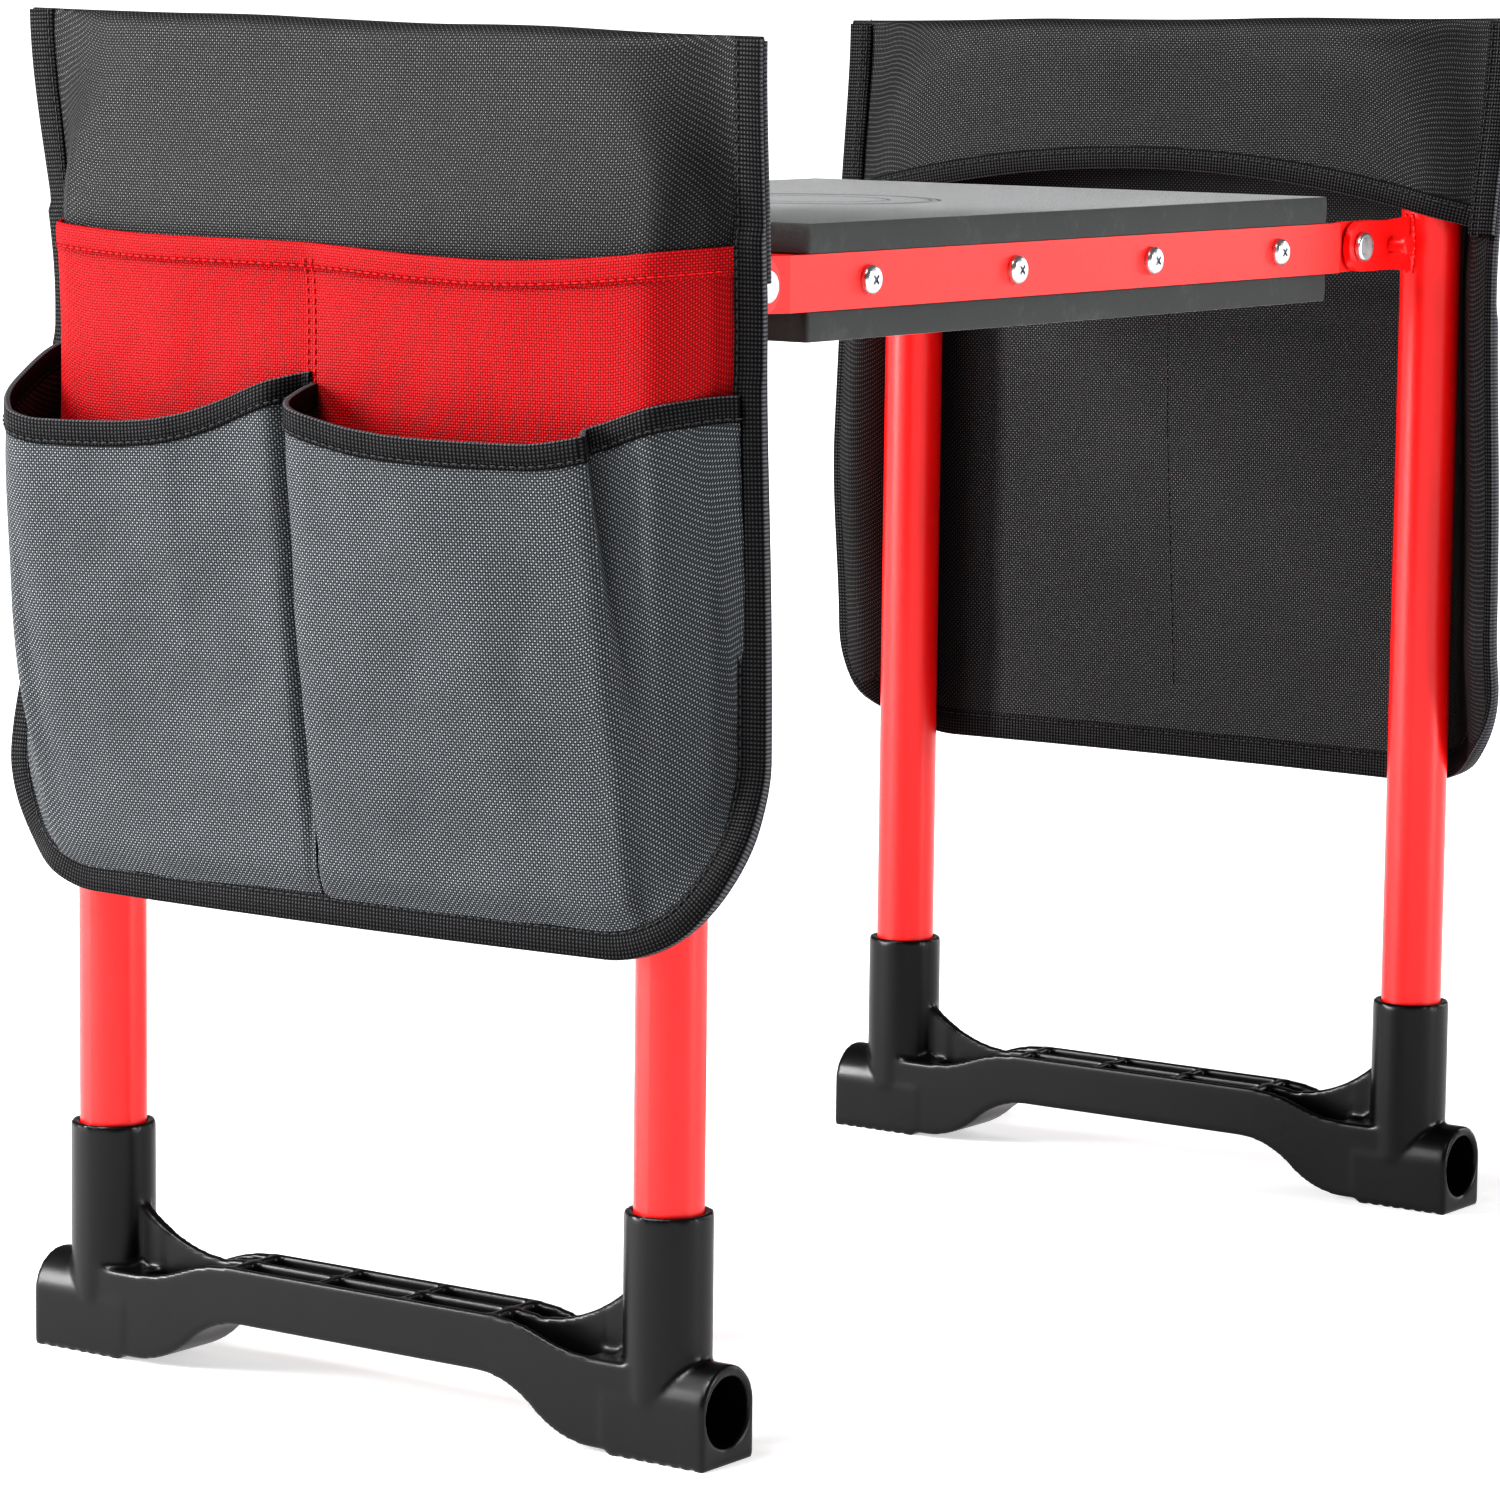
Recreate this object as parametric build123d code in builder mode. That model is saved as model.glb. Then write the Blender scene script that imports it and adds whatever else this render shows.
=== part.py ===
"""Garden kneeler seat: a padded board on two folding U-shaped legs, each with a tool bag.

X runs along the seat, Y across it, Z up, and Z = 0 is the ground.
Paired pieces are built for the right-hand end (+X) and mirrored for the left-hand end.
"""

import os
from math import asin, copysign, cos, hypot, radians, sin

from build123d import *

os.makedirs("parts", exist_ok=True)

# Seat board
PAD_LENGTH = 372.0
PAD_WIDTH = 254.0
PAD_THICKNESS = 11.0
PAD_CORNER = 3.0
PAD_EDGE = 0.8
RAIL_HEIGHT = 20.5
RAIL_THICKNESS = 3.0
SEAT_TOP = 432.0
CORE_GAP = 0.2
SCREW_PITCH = 98.0
SCREW_COUNT = 4
SCREW_SHANK_RADIUS = 2.25
SCREW_HEAD_RADIUS = 5.5
SCREW_HEAD_HEIGHT = 3.2
SCREW_HEAD_ROUND = 2.2
SCREW_LENGTH = 20.0
RECESS_SPAN = 4.4
RECESS_WIDTH = 1.1
RECESS_DEPTH = 1.4
JOG_BEYOND_PAD = 11.0
JOG_LENGTH = 8.0

# Legs
LEG_X = 269.0
LEG_Y = 130.0
TUBE_RADIUS = 12.7
TUBE_WALL = 1.5
TUBE_BEND = 48.0
TUBE_FOOT = 40.0
CROSSBAR_Z = 480.5

# Hinges and lock
PIVOT_BEYOND_PAD = 28.0
PIVOT_RADIUS = 4.0
RUNNING_GAP = 0.05
FACE_GAP = 0.3
EAR_THICKNESS = 3.0
WASHER_THICKNESS = 1.0
WASHER_RADIUS = 8.0
RIVET_HEAD_RADIUS = 6.0
RIVET_HEAD_HEIGHT = 2.4
RIVET_TAIL_RADIUS = 5.5
RIVET_TAIL_HEIGHT = 2.0
RIVET_ROUND = 1.0
LOCK_ARM = 25.0
LOCK_TRAVEL = 5.0
LOCK_RADIUS = 3.0
LOCK_BEYOND_EAR = 9.0
LOCK_CAP_LENGTH = 2.5
LOCK_CAP_PROUD = 1.2
LOCK_CAP_CHAMFER = 0.8
SPRING_Y = 59.0
SPRING_WIRE = 1.6
SPRING_RADIUS = 4.8
ANCHOR_OFFSET = 10.0

# Foot beams
FOOT_HALF_LENGTH = 157.0
FOOT_HALF_WIDTH = 15.5
BRIDGE_HALF_WIDTH = 15.2
FOOT_END_HEIGHT = 36.0
FOOT_TOP = 43.0
ARCH_HEIGHT = 22.0
BRIDGE_HALF = 60.0
SLOPE_END = 108.0
SOCKET_RADIUS = 16.0
SOCKET_TOP = 88.0
FOOT_BORE_RADIUS = 12.75
FOOT_BORE_Z = 19.0
FOOT_BORE_DEPTH = 24.0

# Tool bags
BAG_TOP = 504.0
BAG_BOTTOM = 180.0
BAG_HALF_WIDTH = 164.0
BAG_CORNER = 48.0
CLOTH = 1.5
SLEEVE_HALF = 13.4
FLAP_MIDDLE_Z = 445.0
FLAP_SIDE_Z = 416.0
RED_TOP = 425.0
RED_GAP = 6.0
POCKET_TOP = 364.0
POCKET_DEPTH = 34.0
BINDING_WIDTH = 9.5
BINDING_PROUD = 1.0
BINDING_UNDER = 0.4
SLEEVE_ROUND = 6.5
POCKET_INSET = BINDING_WIDTH + 0.3
POCKET_LEAN = 3.0
POCKET_KNEE_Z = BAG_BOTTOM + 62
POCKET_FOOT = 6.0

PIVOT_X = PAD_LENGTH / 2 + PIVOT_BEYOND_PAD
PIVOT_Z = SEAT_TOP - PAD_THICKNESS - RAIL_HEIGHT / 2
RAIL_OUTER_Y = PAD_WIDTH / 2
RAIL_INNER_Y = RAIL_OUTER_Y - RAIL_THICKNESS
EAR_OUTER_Y = RAIL_OUTER_Y + 0.6
EAR_INNER_Y = EAR_OUTER_Y - EAR_THICKNESS
RAIL_END_OUTER_Y = EAR_INNER_Y - FACE_GAP - WASHER_THICKNESS
RAIL_END_INNER_Y = RAIL_END_OUTER_Y - RAIL_THICKNESS
RAIL_END_RADIUS = LOCK_ARM - LOCK_RADIUS - FACE_GAP
LOCK_X = PIVOT_X + LOCK_ARM
ANCHOR_X = PIVOT_X - ANCHOR_OFFSET
ANCHOR_Z = PIVOT_Z + ANCHOR_OFFSET
PANEL_IN = LEG_X + SLEEVE_HALF
PANEL_OUT = PANEL_IN + CLOTH
RED_IN = PANEL_OUT + RED_GAP
RED_OUT = RED_IN + CLOTH


def save(piece, name):
    """Labels one finished piece and writes it."""
    piece.label = name
    export_step(piece, f"parts/{name}.step")


def save_pair(piece, name):
    """Writes the right-hand piece and its mirror image for the left-hand end."""
    save(piece, f"right_{name}")
    save(mirror(piece, about=Plane.YZ), f"left_{name}")


# ---------------------------------------------------------------- seat board
def pad(bottom):
    """A rectangular foam pad with its underside at the given height."""
    with BuildPart() as foam:
        with BuildSketch(Plane.XY.offset(bottom)):
            RectangleRounded(PAD_LENGTH, PAD_WIDTH, PAD_CORNER)
        extrude(amount=PAD_THICKNESS)
        chamfer(foam.faces().filter_by(Axis.Z).edges(), length=PAD_EDGE)
    return foam.part


RAIL_TOP = PIVOT_Z + RAIL_HEIGHT / 2
RAIL_BOTTOM = PIVOT_Z - RAIL_HEIGHT / 2
save(pad(RAIL_TOP), "top_pad")
save(pad(RAIL_BOTTOM - PAD_THICKNESS), "bottom_pad")

END_PLATE_THICKNESS = 2.5
CORE_HALF_LENGTH = PAD_LENGTH / 2 - END_PLATE_THICKNESS - CORE_GAP

with BuildPart() as core_board:
    with BuildSketch(Plane.XY.offset(RAIL_BOTTOM + CORE_GAP)):
        Rectangle(2 * CORE_HALF_LENGTH, 2 * (RAIL_INNER_Y - CORE_GAP))
    extrude(amount=RAIL_HEIGHT - 2 * CORE_GAP)
    for side in (1, -1):
        with BuildSketch(Plane.XZ.offset(side * RAIL_INNER_Y)):
            with Locations((0, PIVOT_Z)):
                with GridLocations(SCREW_PITCH, 0, SCREW_COUNT, 1):
                    Circle(SCREW_SHANK_RADIUS + RUNNING_GAP)
        extrude(amount=-side * SCREW_LENGTH, mode=Mode.SUBTRACT)
save(core_board.part, "core_board")

JOG_START = PAD_LENGTH / 2 + JOG_BEYOND_PAD
JOG_END = JOG_START + JOG_LENGTH
RAIL_TIP = PIVOT_X + RAIL_END_RADIUS


def rail(side):
    """The long flat steel rail on one side (+1 is +Y), its ends set inwards to sit behind the ears."""
    outer = [(JOG_START, RAIL_OUTER_Y), (JOG_END, RAIL_END_OUTER_Y), (RAIL_TIP + 1, RAIL_END_OUTER_Y)]
    inner = [(x, y - RAIL_THICKNESS) for x, y in reversed(outer)]
    right_half = outer + inner
    left_half = [(-x, y) for x, y in reversed(right_half)]
    with BuildPart() as bar:
        with BuildSketch(Plane.XY.offset(RAIL_BOTTOM)):
            with BuildLine():
                Polyline(*[(x, side * y) for x, y in right_half + left_half], close=True)
            make_face()
        extrude(amount=RAIL_HEIGHT)
        with BuildSketch(Plane.XZ):
            with Locations((0, PIVOT_Z)):
                Rectangle(2 * PIVOT_X, RAIL_HEIGHT)
            with Locations((PIVOT_X, PIVOT_Z), (-PIVOT_X, PIVOT_Z)):
                Circle(RAIL_END_RADIUS)
        extrude(amount=PAD_WIDTH, both=True, mode=Mode.INTERSECT)
        with BuildSketch(Plane.XZ):
            with Locations((PIVOT_X, PIVOT_Z), (-PIVOT_X, PIVOT_Z)):
                Circle(PIVOT_RADIUS + RUNNING_GAP)
            with Locations((0, PIVOT_Z)):
                with GridLocations(SCREW_PITCH, 0, SCREW_COUNT, 1):
                    Circle(SCREW_SHANK_RADIUS + RUNNING_GAP)
        extrude(amount=PAD_WIDTH, both=True, mode=Mode.SUBTRACT)
    return bar.part


def rail_screws(side):
    """The pan-head cross-recess screws through one rail, as separate solids."""
    outward = Plane.XZ.offset(-side * RAIL_OUTER_Y)
    with BuildPart() as screws:
        with BuildSketch(outward):
            with Locations((0, PIVOT_Z)):
                with GridLocations(SCREW_PITCH, 0, SCREW_COUNT, 1):
                    Circle(SCREW_HEAD_RADIUS)
        extrude(amount=-side * SCREW_HEAD_HEIGHT)
        heads = screws.faces().filter_by(Axis.Y).sort_by(Axis.Y)
        outer_faces = heads[-SCREW_COUNT:] if side > 0 else heads[:SCREW_COUNT]
        fillet(outer_faces.edges(), radius=SCREW_HEAD_ROUND)
        with BuildSketch(outward):
            with Locations((0, PIVOT_Z)):
                with GridLocations(SCREW_PITCH, 0, SCREW_COUNT, 1):
                    Circle(SCREW_SHANK_RADIUS)
        extrude(amount=side * (SCREW_LENGTH + RAIL_THICKNESS - 1))
        with BuildSketch(outward.offset(-side * SCREW_HEAD_HEIGHT)):
            with Locations((0, PIVOT_Z)):
                with GridLocations(SCREW_PITCH, 0, SCREW_COUNT, 1):
                    Rectangle(RECESS_SPAN, RECESS_WIDTH, rotation=45)
                    Rectangle(RECESS_WIDTH, RECESS_SPAN, rotation=45)
        extrude(amount=side * RECESS_DEPTH, mode=Mode.SUBTRACT)
    return screws.part


for side, side_name in ((-1, "front"), (1, "rear")):
    save(rail(side), f"{side_name}_rail")
    save(rail_screws(side), f"{side_name}_rail_screws")

FLANGE_REACH = 11.0
FLANGE_THICKNESS = 2.0
TAB_RADIUS = 3.6
TAB_THICKNESS = 2.0

with BuildPart() as end_plate:
    web_x = PAD_LENGTH / 2 - END_PLATE_THICKNESS
    flange_top = RAIL_TOP - CORE_GAP
    with BuildSketch(Plane.XZ):
        with BuildLine():
            Polyline(
                (web_x, RAIL_BOTTOM + CORE_GAP),
                (web_x, flange_top),
                (web_x + END_PLATE_THICKNESS + FLANGE_REACH, flange_top),
                (web_x + END_PLATE_THICKNESS + FLANGE_REACH, flange_top - FLANGE_THICKNESS),
                (web_x + END_PLATE_THICKNESS, flange_top - FLANGE_THICKNESS),
                (web_x + END_PLATE_THICKNESS, RAIL_BOTTOM + CORE_GAP),
                close=True,
            )
        make_face()
    extrude(amount=RAIL_INNER_Y - CORE_GAP, both=True)
    for y in (SPRING_Y, -SPRING_Y):
        with BuildSketch(Plane.XZ.offset(-y)):
            with Locations((ANCHOR_X, ANCHOR_Z)):
                Circle(TAB_RADIUS)
            with BuildLine():
                Polyline(
                    (web_x + END_PLATE_THICKNESS, flange_top - 9),
                    (web_x + END_PLATE_THICKNESS, flange_top),
                    (ANCHOR_X - 1, ANCHOR_Z + TAB_RADIUS),
                    (ANCHOR_X + 1, ANCHOR_Z - TAB_RADIUS),
                    close=True,
                )
            make_face()
            with Locations((ANCHOR_X, ANCHOR_Z)):
                Circle(SPRING_WIRE / 2 + 0.5, mode=Mode.SUBTRACT)
        extrude(amount=TAB_THICKNESS / 2, both=True)
save_pair(end_plate.part, "end_plate")


# ---------------------------------------------------------------- hinges
def rivet_pair():
    """The two pivot rivets of one end: outer head, shank and formed inner head."""
    head_face = EAR_OUTER_Y + FACE_GAP
    with BuildPart() as rivets:
        for side in (1, -1):
            with BuildSketch(Plane.XZ.offset(-side * head_face)):
                with Locations((PIVOT_X, PIVOT_Z)):
                    Circle(RIVET_HEAD_RADIUS)
            extrude(amount=-side * RIVET_HEAD_HEIGHT)
        fillet(rivets.faces().sort_by(Axis.Y)[-1].edges(), radius=RIVET_ROUND)
        fillet(rivets.faces().sort_by(Axis.Y)[0].edges(), radius=RIVET_ROUND)
        for side in (1, -1):
            with BuildSketch(Plane.XZ.offset(-side * head_face)):
                with Locations((PIVOT_X, PIVOT_Z)):
                    Circle(PIVOT_RADIUS)
            extrude(amount=side * (head_face - RAIL_END_INNER_Y + 0.1))
            with BuildSketch(Plane.XZ.offset(-side * RAIL_END_INNER_Y)):
                with Locations((PIVOT_X, PIVOT_Z)):
                    Circle(RIVET_TAIL_RADIUS)
            extrude(amount=side * RIVET_TAIL_HEIGHT)
    return rivets.part


with BuildPart() as washers:
    for side in (1, -1):
        with BuildSketch(Plane.XZ.offset(-side * RAIL_END_OUTER_Y)):
            with Locations((PIVOT_X, PIVOT_Z)):
                Circle(WASHER_RADIUS)
                Circle(PIVOT_RADIUS + RUNNING_GAP, mode=Mode.SUBTRACT)
        extrude(amount=-side * WASHER_THICKNESS)

save_pair(rivet_pair(), "pivot_rivets")
save_pair(washers.part, "pivot_washers")

EAR_ROUND = RAIL_HEIGHT / 2
EAR_WELD_HALF = 12.0


def bracket(side):
    """The ear that hangs one leg tube on its pivot, slotted for the lock rod and welded to the tube."""
    with BuildPart() as ear:
        with BuildSketch(Plane.XZ.offset(-side * EAR_INNER_Y)):
            with Locations((PIVOT_X, PIVOT_Z)):
                Circle(EAR_ROUND)
            with BuildLine():
                Line((PIVOT_X, PIVOT_Z + EAR_ROUND), (PIVOT_X, PIVOT_Z - EAR_ROUND))
                Line((PIVOT_X, PIVOT_Z - EAR_ROUND), (PIVOT_X + LOCK_ARM, PIVOT_Z - EAR_ROUND))
                Line((PIVOT_X + LOCK_ARM, PIVOT_Z - EAR_ROUND), (LEG_X, PIVOT_Z - EAR_WELD_HALF))
                Line((LEG_X, PIVOT_Z - EAR_WELD_HALF), (LEG_X, PIVOT_Z + EAR_WELD_HALF))
                Line((LEG_X, PIVOT_Z + EAR_WELD_HALF), (PIVOT_X + LOCK_ARM, PIVOT_Z + EAR_ROUND))
                Line((PIVOT_X + LOCK_ARM, PIVOT_Z + EAR_ROUND), (PIVOT_X, PIVOT_Z + EAR_ROUND))
            make_face()
            with Locations((PIVOT_X, PIVOT_Z)):
                Circle(PIVOT_RADIUS + RUNNING_GAP, mode=Mode.SUBTRACT)
            with Locations((LOCK_X + LOCK_TRAVEL / 2, PIVOT_Z)):
                SlotCenterToCenter(LOCK_TRAVEL, 2 * (LOCK_RADIUS + FACE_GAP), mode=Mode.SUBTRACT)
        extrude(amount=-side * EAR_THICKNESS)
        with BuildSketch(Plane.XY):
            with Locations((LEG_X, side * LEG_Y)):
                Circle(TUBE_RADIUS)
        extrude(amount=CROSSBAR_Z, mode=Mode.SUBTRACT)
    return ear.part


for side, side_name in ((-1, "front"), (1, "rear")):
    save_pair(bracket(side), f"{side_name}_bracket")

# ---------------------------------------------------------------- leg tube
with BuildPart() as leg_tube:
    with BuildLine(Plane.YZ.offset(LEG_X)) as centreline:
        FilletPolyline(
            (-LEG_Y, TUBE_FOOT),
            (-LEG_Y, CROSSBAR_Z),
            (LEG_Y, CROSSBAR_Z),
            (LEG_Y, TUBE_FOOT),
            radius=TUBE_BEND,
        )
    with BuildSketch(Plane((LEG_X, -LEG_Y, TUBE_FOOT), z_dir=(0, 0, 1))):
        Circle(TUBE_RADIUS)
        Circle(TUBE_RADIUS - TUBE_WALL, mode=Mode.SUBTRACT)
    sweep(path=centreline.wires()[0])
save_pair(leg_tube.part, "leg_tube")

GRIP_Y = 64.0
GRIP_LENGTH = 36.5
GRIP_PROUD = 6.0
GRIP_TEETH = 6
GRIP_ROUND = 3.5
GRIP_SKIRT = 2.0
NOTCH_WIDTH = 2.4
NOTCH_DEPTH = 1.8


def grip_block(side):
    """A serrated rubber block clipped on the crossbar; it is a foot when the seat stands upside down."""
    crown = CROSSBAR_Z + TUBE_RADIUS + GRIP_PROUD
    with BuildPart() as block:
        with BuildSketch(Plane.XZ.offset(-side * GRIP_Y)):
            with Locations((LEG_X, CROSSBAR_Z + GRIP_SKIRT)):
                tall = crown - CROSSBAR_Z - GRIP_SKIRT
                Rectangle(2 * TUBE_RADIUS - 1, tall, align=(Align.CENTER, Align.MIN))
        extrude(amount=GRIP_LENGTH / 2, both=True)
        fillet(block.edges().filter_by(Axis.Y).group_by(Axis.Z)[-1], radius=GRIP_ROUND)
        with BuildSketch(Plane.XZ):
            with Locations((LEG_X, CROSSBAR_Z)):
                Circle(TUBE_RADIUS + RUNNING_GAP)
        extrude(amount=LEG_Y, both=True, mode=Mode.SUBTRACT)
        with BuildSketch(Plane.YZ.offset(LEG_X)):
            with Locations((side * GRIP_Y, crown)):
                with GridLocations(GRIP_LENGTH / GRIP_TEETH, 0, GRIP_TEETH - 1, 1):
                    Rectangle(NOTCH_WIDTH, 2 * NOTCH_DEPTH)
        extrude(amount=TUBE_RADIUS, both=True, mode=Mode.SUBTRACT)
    return block.part


for side, side_name in ((-1, "front"), (1, "rear")):
    save_pair(grip_block(side), f"{side_name}_grip_block")

# ---------------------------------------------------------------- foot beam
RIB = 2.6
WALL = 3.0
POCKET_FLOOR = 7.0
BAY_PITCH = 2 * BRIDGE_HALF / 3
ROW_WIDTH = (2 * BRIDGE_HALF_WIDTH - 2 * WALL - RIB) / 2
ROW_X = (ROW_WIDTH + RIB) / 2
SOLE_LENGTH = 42.0
SOLE_STEP = 1.6
GROOVE_PITCH = 5.2
GROOVE_COUNT = 7
GROOVE_SIZE = 1.0
WEB_HALF = 2.5
WEB_BOTTOM = 30.0
WEB_TOP = 60.0
WEB_RADIUS = 62.0


def slope(y_start, z_start, y_end, z_end):
    """Two tangent arcs that make an S from a level run at one height to a level run at another."""
    half_run = (y_end - y_start) / 2
    half_drop = (z_start - z_end) / 2
    radius = (half_run**2 + half_drop**2) / (2 * abs(half_drop))
    half_turn = asin(abs(half_run) / radius) / 2
    bow_run = copysign(radius * sin(half_turn), half_run)
    bow_drop = copysign(radius * (1 - cos(half_turn)), half_drop)
    middle = (y_start + half_run, z_start - half_drop)
    ThreePointArc((y_start, z_start), (y_start + bow_run, z_start - bow_drop), middle)
    ThreePointArc(middle, (y_end - bow_run, z_end + bow_drop), (y_end, z_end))


def slope_outline(side, floor):
    """The closed side outline of one slope's channel pocket, its floor that far above the beam's underside."""
    y_in = side * (BRIDGE_HALF + RIB)
    y_out = side * (SLOPE_END - 4)
    z_in = ARCH_HEIGHT + floor
    z_out = SOLE_STEP + floor + 4
    slope(y_in, z_in, y_out, z_out)
    Polyline((y_out, z_out), (y_out, FOOT_TOP + 5), (y_in, FOOT_TOP + 5), (y_in, z_in))


END_TOP = FOOT_END_HEIGHT - 2
END_START = SLOPE_END + 4
ARCH_HALF = BRIDGE_HALF - 6

with BuildPart() as foot_beam:
    with BuildSketch(Plane.YZ.offset(LEG_X)):
        with BuildLine():
            Line((-BRIDGE_HALF, FOOT_TOP), (BRIDGE_HALF, FOOT_TOP))
            slope(BRIDGE_HALF, FOOT_TOP, SLOPE_END, END_TOP)
            Polyline((SLOPE_END, END_TOP), (LEG_Y, END_TOP), (LEG_Y, SOLE_STEP), (SLOPE_END, SOLE_STEP))
            slope(SLOPE_END, SOLE_STEP, ARCH_HALF, ARCH_HEIGHT)
            Line((ARCH_HALF, ARCH_HEIGHT), (-ARCH_HALF, ARCH_HEIGHT))
            slope(-ARCH_HALF, ARCH_HEIGHT, -SLOPE_END, SOLE_STEP)
            Polyline((-SLOPE_END, SOLE_STEP), (-LEG_Y, SOLE_STEP), (-LEG_Y, END_TOP), (-SLOPE_END, END_TOP))
            slope(-SLOPE_END, END_TOP, -BRIDGE_HALF, FOOT_TOP)
        make_face()
    extrude(amount=BRIDGE_HALF_WIDTH, both=True)
    for side in (1, -1):
        with BuildSketch(Plane.XZ.offset(-side * END_START)):
            with Locations((LEG_X, FOOT_END_HEIGHT - FOOT_HALF_WIDTH)):
                Circle(FOOT_HALF_WIDTH)
            with Locations((LEG_X, SOLE_STEP)):
                half_height = FOOT_END_HEIGHT - FOOT_HALF_WIDTH - SOLE_STEP
                Rectangle(2 * FOOT_HALF_WIDTH, half_height, align=(Align.CENTER, Align.MIN))
        extrude(amount=-side * (FOOT_HALF_LENGTH - END_START))
        with BuildSketch(Plane.XY):
            with Locations((LEG_X, side * (FOOT_HALF_LENGTH - SOLE_LENGTH / 2))):
                Rectangle(2 * FOOT_HALF_WIDTH, SOLE_LENGTH)
        extrude(amount=SOLE_STEP)
        with BuildSketch(Plane.XY.offset(FOOT_END_HEIGHT - FOOT_HALF_WIDTH)):
            with Locations((LEG_X, side * LEG_Y)):
                Circle(SOCKET_RADIUS)
        extrude(amount=SOCKET_TOP - FOOT_END_HEIGHT + FOOT_HALF_WIDTH)
        with BuildSketch(Plane.YZ.offset(LEG_X)):
            with BuildLine():
                inner_y = LEG_Y - SOCKET_RADIUS + 2
                low_end = (side * (BRIDGE_HALF + 4), FOOT_TOP - 1)
                Line((side * inner_y, WEB_BOTTOM), (side * inner_y, WEB_TOP))
                RadiusArc((side * inner_y, WEB_TOP), low_end, side * WEB_RADIUS)
                Line(low_end, (side * (BRIDGE_HALF + 4), WEB_BOTTOM))
                Line((side * (BRIDGE_HALF + 4), WEB_BOTTOM), (side * inner_y, WEB_BOTTOM))
            make_face()
        extrude(amount=WEB_HALF, both=True)
    with BuildSketch(Plane.XY.offset(FOOT_TOP)):
        with Locations((LEG_X, 0)):
            with GridLocations(2 * ROW_X, BAY_PITCH, 2, 3):
                RectangleRounded(ROW_WIDTH, BAY_PITCH - RIB, 1.0)
    extrude(amount=-(FOOT_TOP - ARCH_HEIGHT - POCKET_FLOOR), mode=Mode.SUBTRACT)
    for side in (1, -1):
        for row in (ROW_X, -ROW_X):
            with BuildSketch(Plane.YZ.offset(LEG_X + row)):
                with BuildLine():
                    slope_outline(side, POCKET_FLOOR + 2)
                make_face()
            extrude(amount=ROW_WIDTH / 2 - 0.6, both=True, mode=Mode.SUBTRACT)
        with BuildSketch(Plane.XY.offset(SOCKET_TOP)):
            with Locations((LEG_X, side * LEG_Y)):
                Circle(TUBE_RADIUS + RUNNING_GAP)
        extrude(amount=-(SOCKET_TOP - TUBE_FOOT + 0.2), mode=Mode.SUBTRACT)
        with BuildSketch(Plane.XZ.offset(-side * FOOT_HALF_LENGTH)):
            with Locations((LEG_X, FOOT_BORE_Z)):
                Circle(FOOT_BORE_RADIUS)
        extrude(amount=side * FOOT_BORE_DEPTH, mode=Mode.SUBTRACT)
        with BuildSketch(Plane.YZ.offset(LEG_X)):
            with Locations((side * (FOOT_HALF_LENGTH - SOLE_LENGTH / 2), 0)):
                with GridLocations(GROOVE_PITCH, 0, GROOVE_COUNT, 1):
                    Rectangle(2 * GROOVE_SIZE, 2 * GROOVE_SIZE)
        extrude(amount=FOOT_HALF_WIDTH, both=True, mode=Mode.SUBTRACT)
save_pair(foot_beam.part, "foot_beam")

# ---------------------------------------------------------------- lock rod and springs
LOCK_HALF_LENGTH = EAR_OUTER_Y + LOCK_BEYOND_EAR
with BuildPart() as lock_rod:
    with BuildSketch(Plane.XZ):
        with Locations((LOCK_X, PIVOT_Z)):
            Circle(LOCK_RADIUS)
    extrude(amount=LOCK_HALF_LENGTH, both=True)
    for side in (1, -1):
        with BuildSketch(Plane.XZ.offset(-side * (LOCK_HALF_LENGTH - LOCK_CAP_LENGTH))):
            with Locations((LOCK_X, PIVOT_Z)):
                Circle(LOCK_RADIUS + LOCK_CAP_PROUD)
        extrude(amount=-side * LOCK_CAP_LENGTH)
    ends = lock_rod.faces().filter_by(Axis.Y).sort_by(Axis.Y)
    chamfer(ends[0].edges() + ends[-1].edges(), length=LOCK_CAP_CHAMFER)
save_pair(lock_rod.part, "lock_rod")

REACH = hypot(LOCK_ARM + ANCHOR_OFFSET, ANCHOR_OFFSET)
LOOP_NEAR = REACH - LOCK_RADIUS - 0.8
LOOP_FAR = hypot(LOCK_ARM * cos(radians(45)) + ANCHOR_OFFSET, LOCK_ARM * sin(radians(45)) + ANCHOR_OFFSET)
LOOP_FAR = LOOP_FAR + LOCK_TRAVEL + LOCK_RADIUS + 0.8
LOOP_WIDTH = 2 * LOCK_RADIUS + 4.0
COIL_START = 8.0
spring_axis = Vector(LOCK_ARM + ANCHOR_OFFSET, 0, -ANCHOR_OFFSET).normalized()


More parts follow.
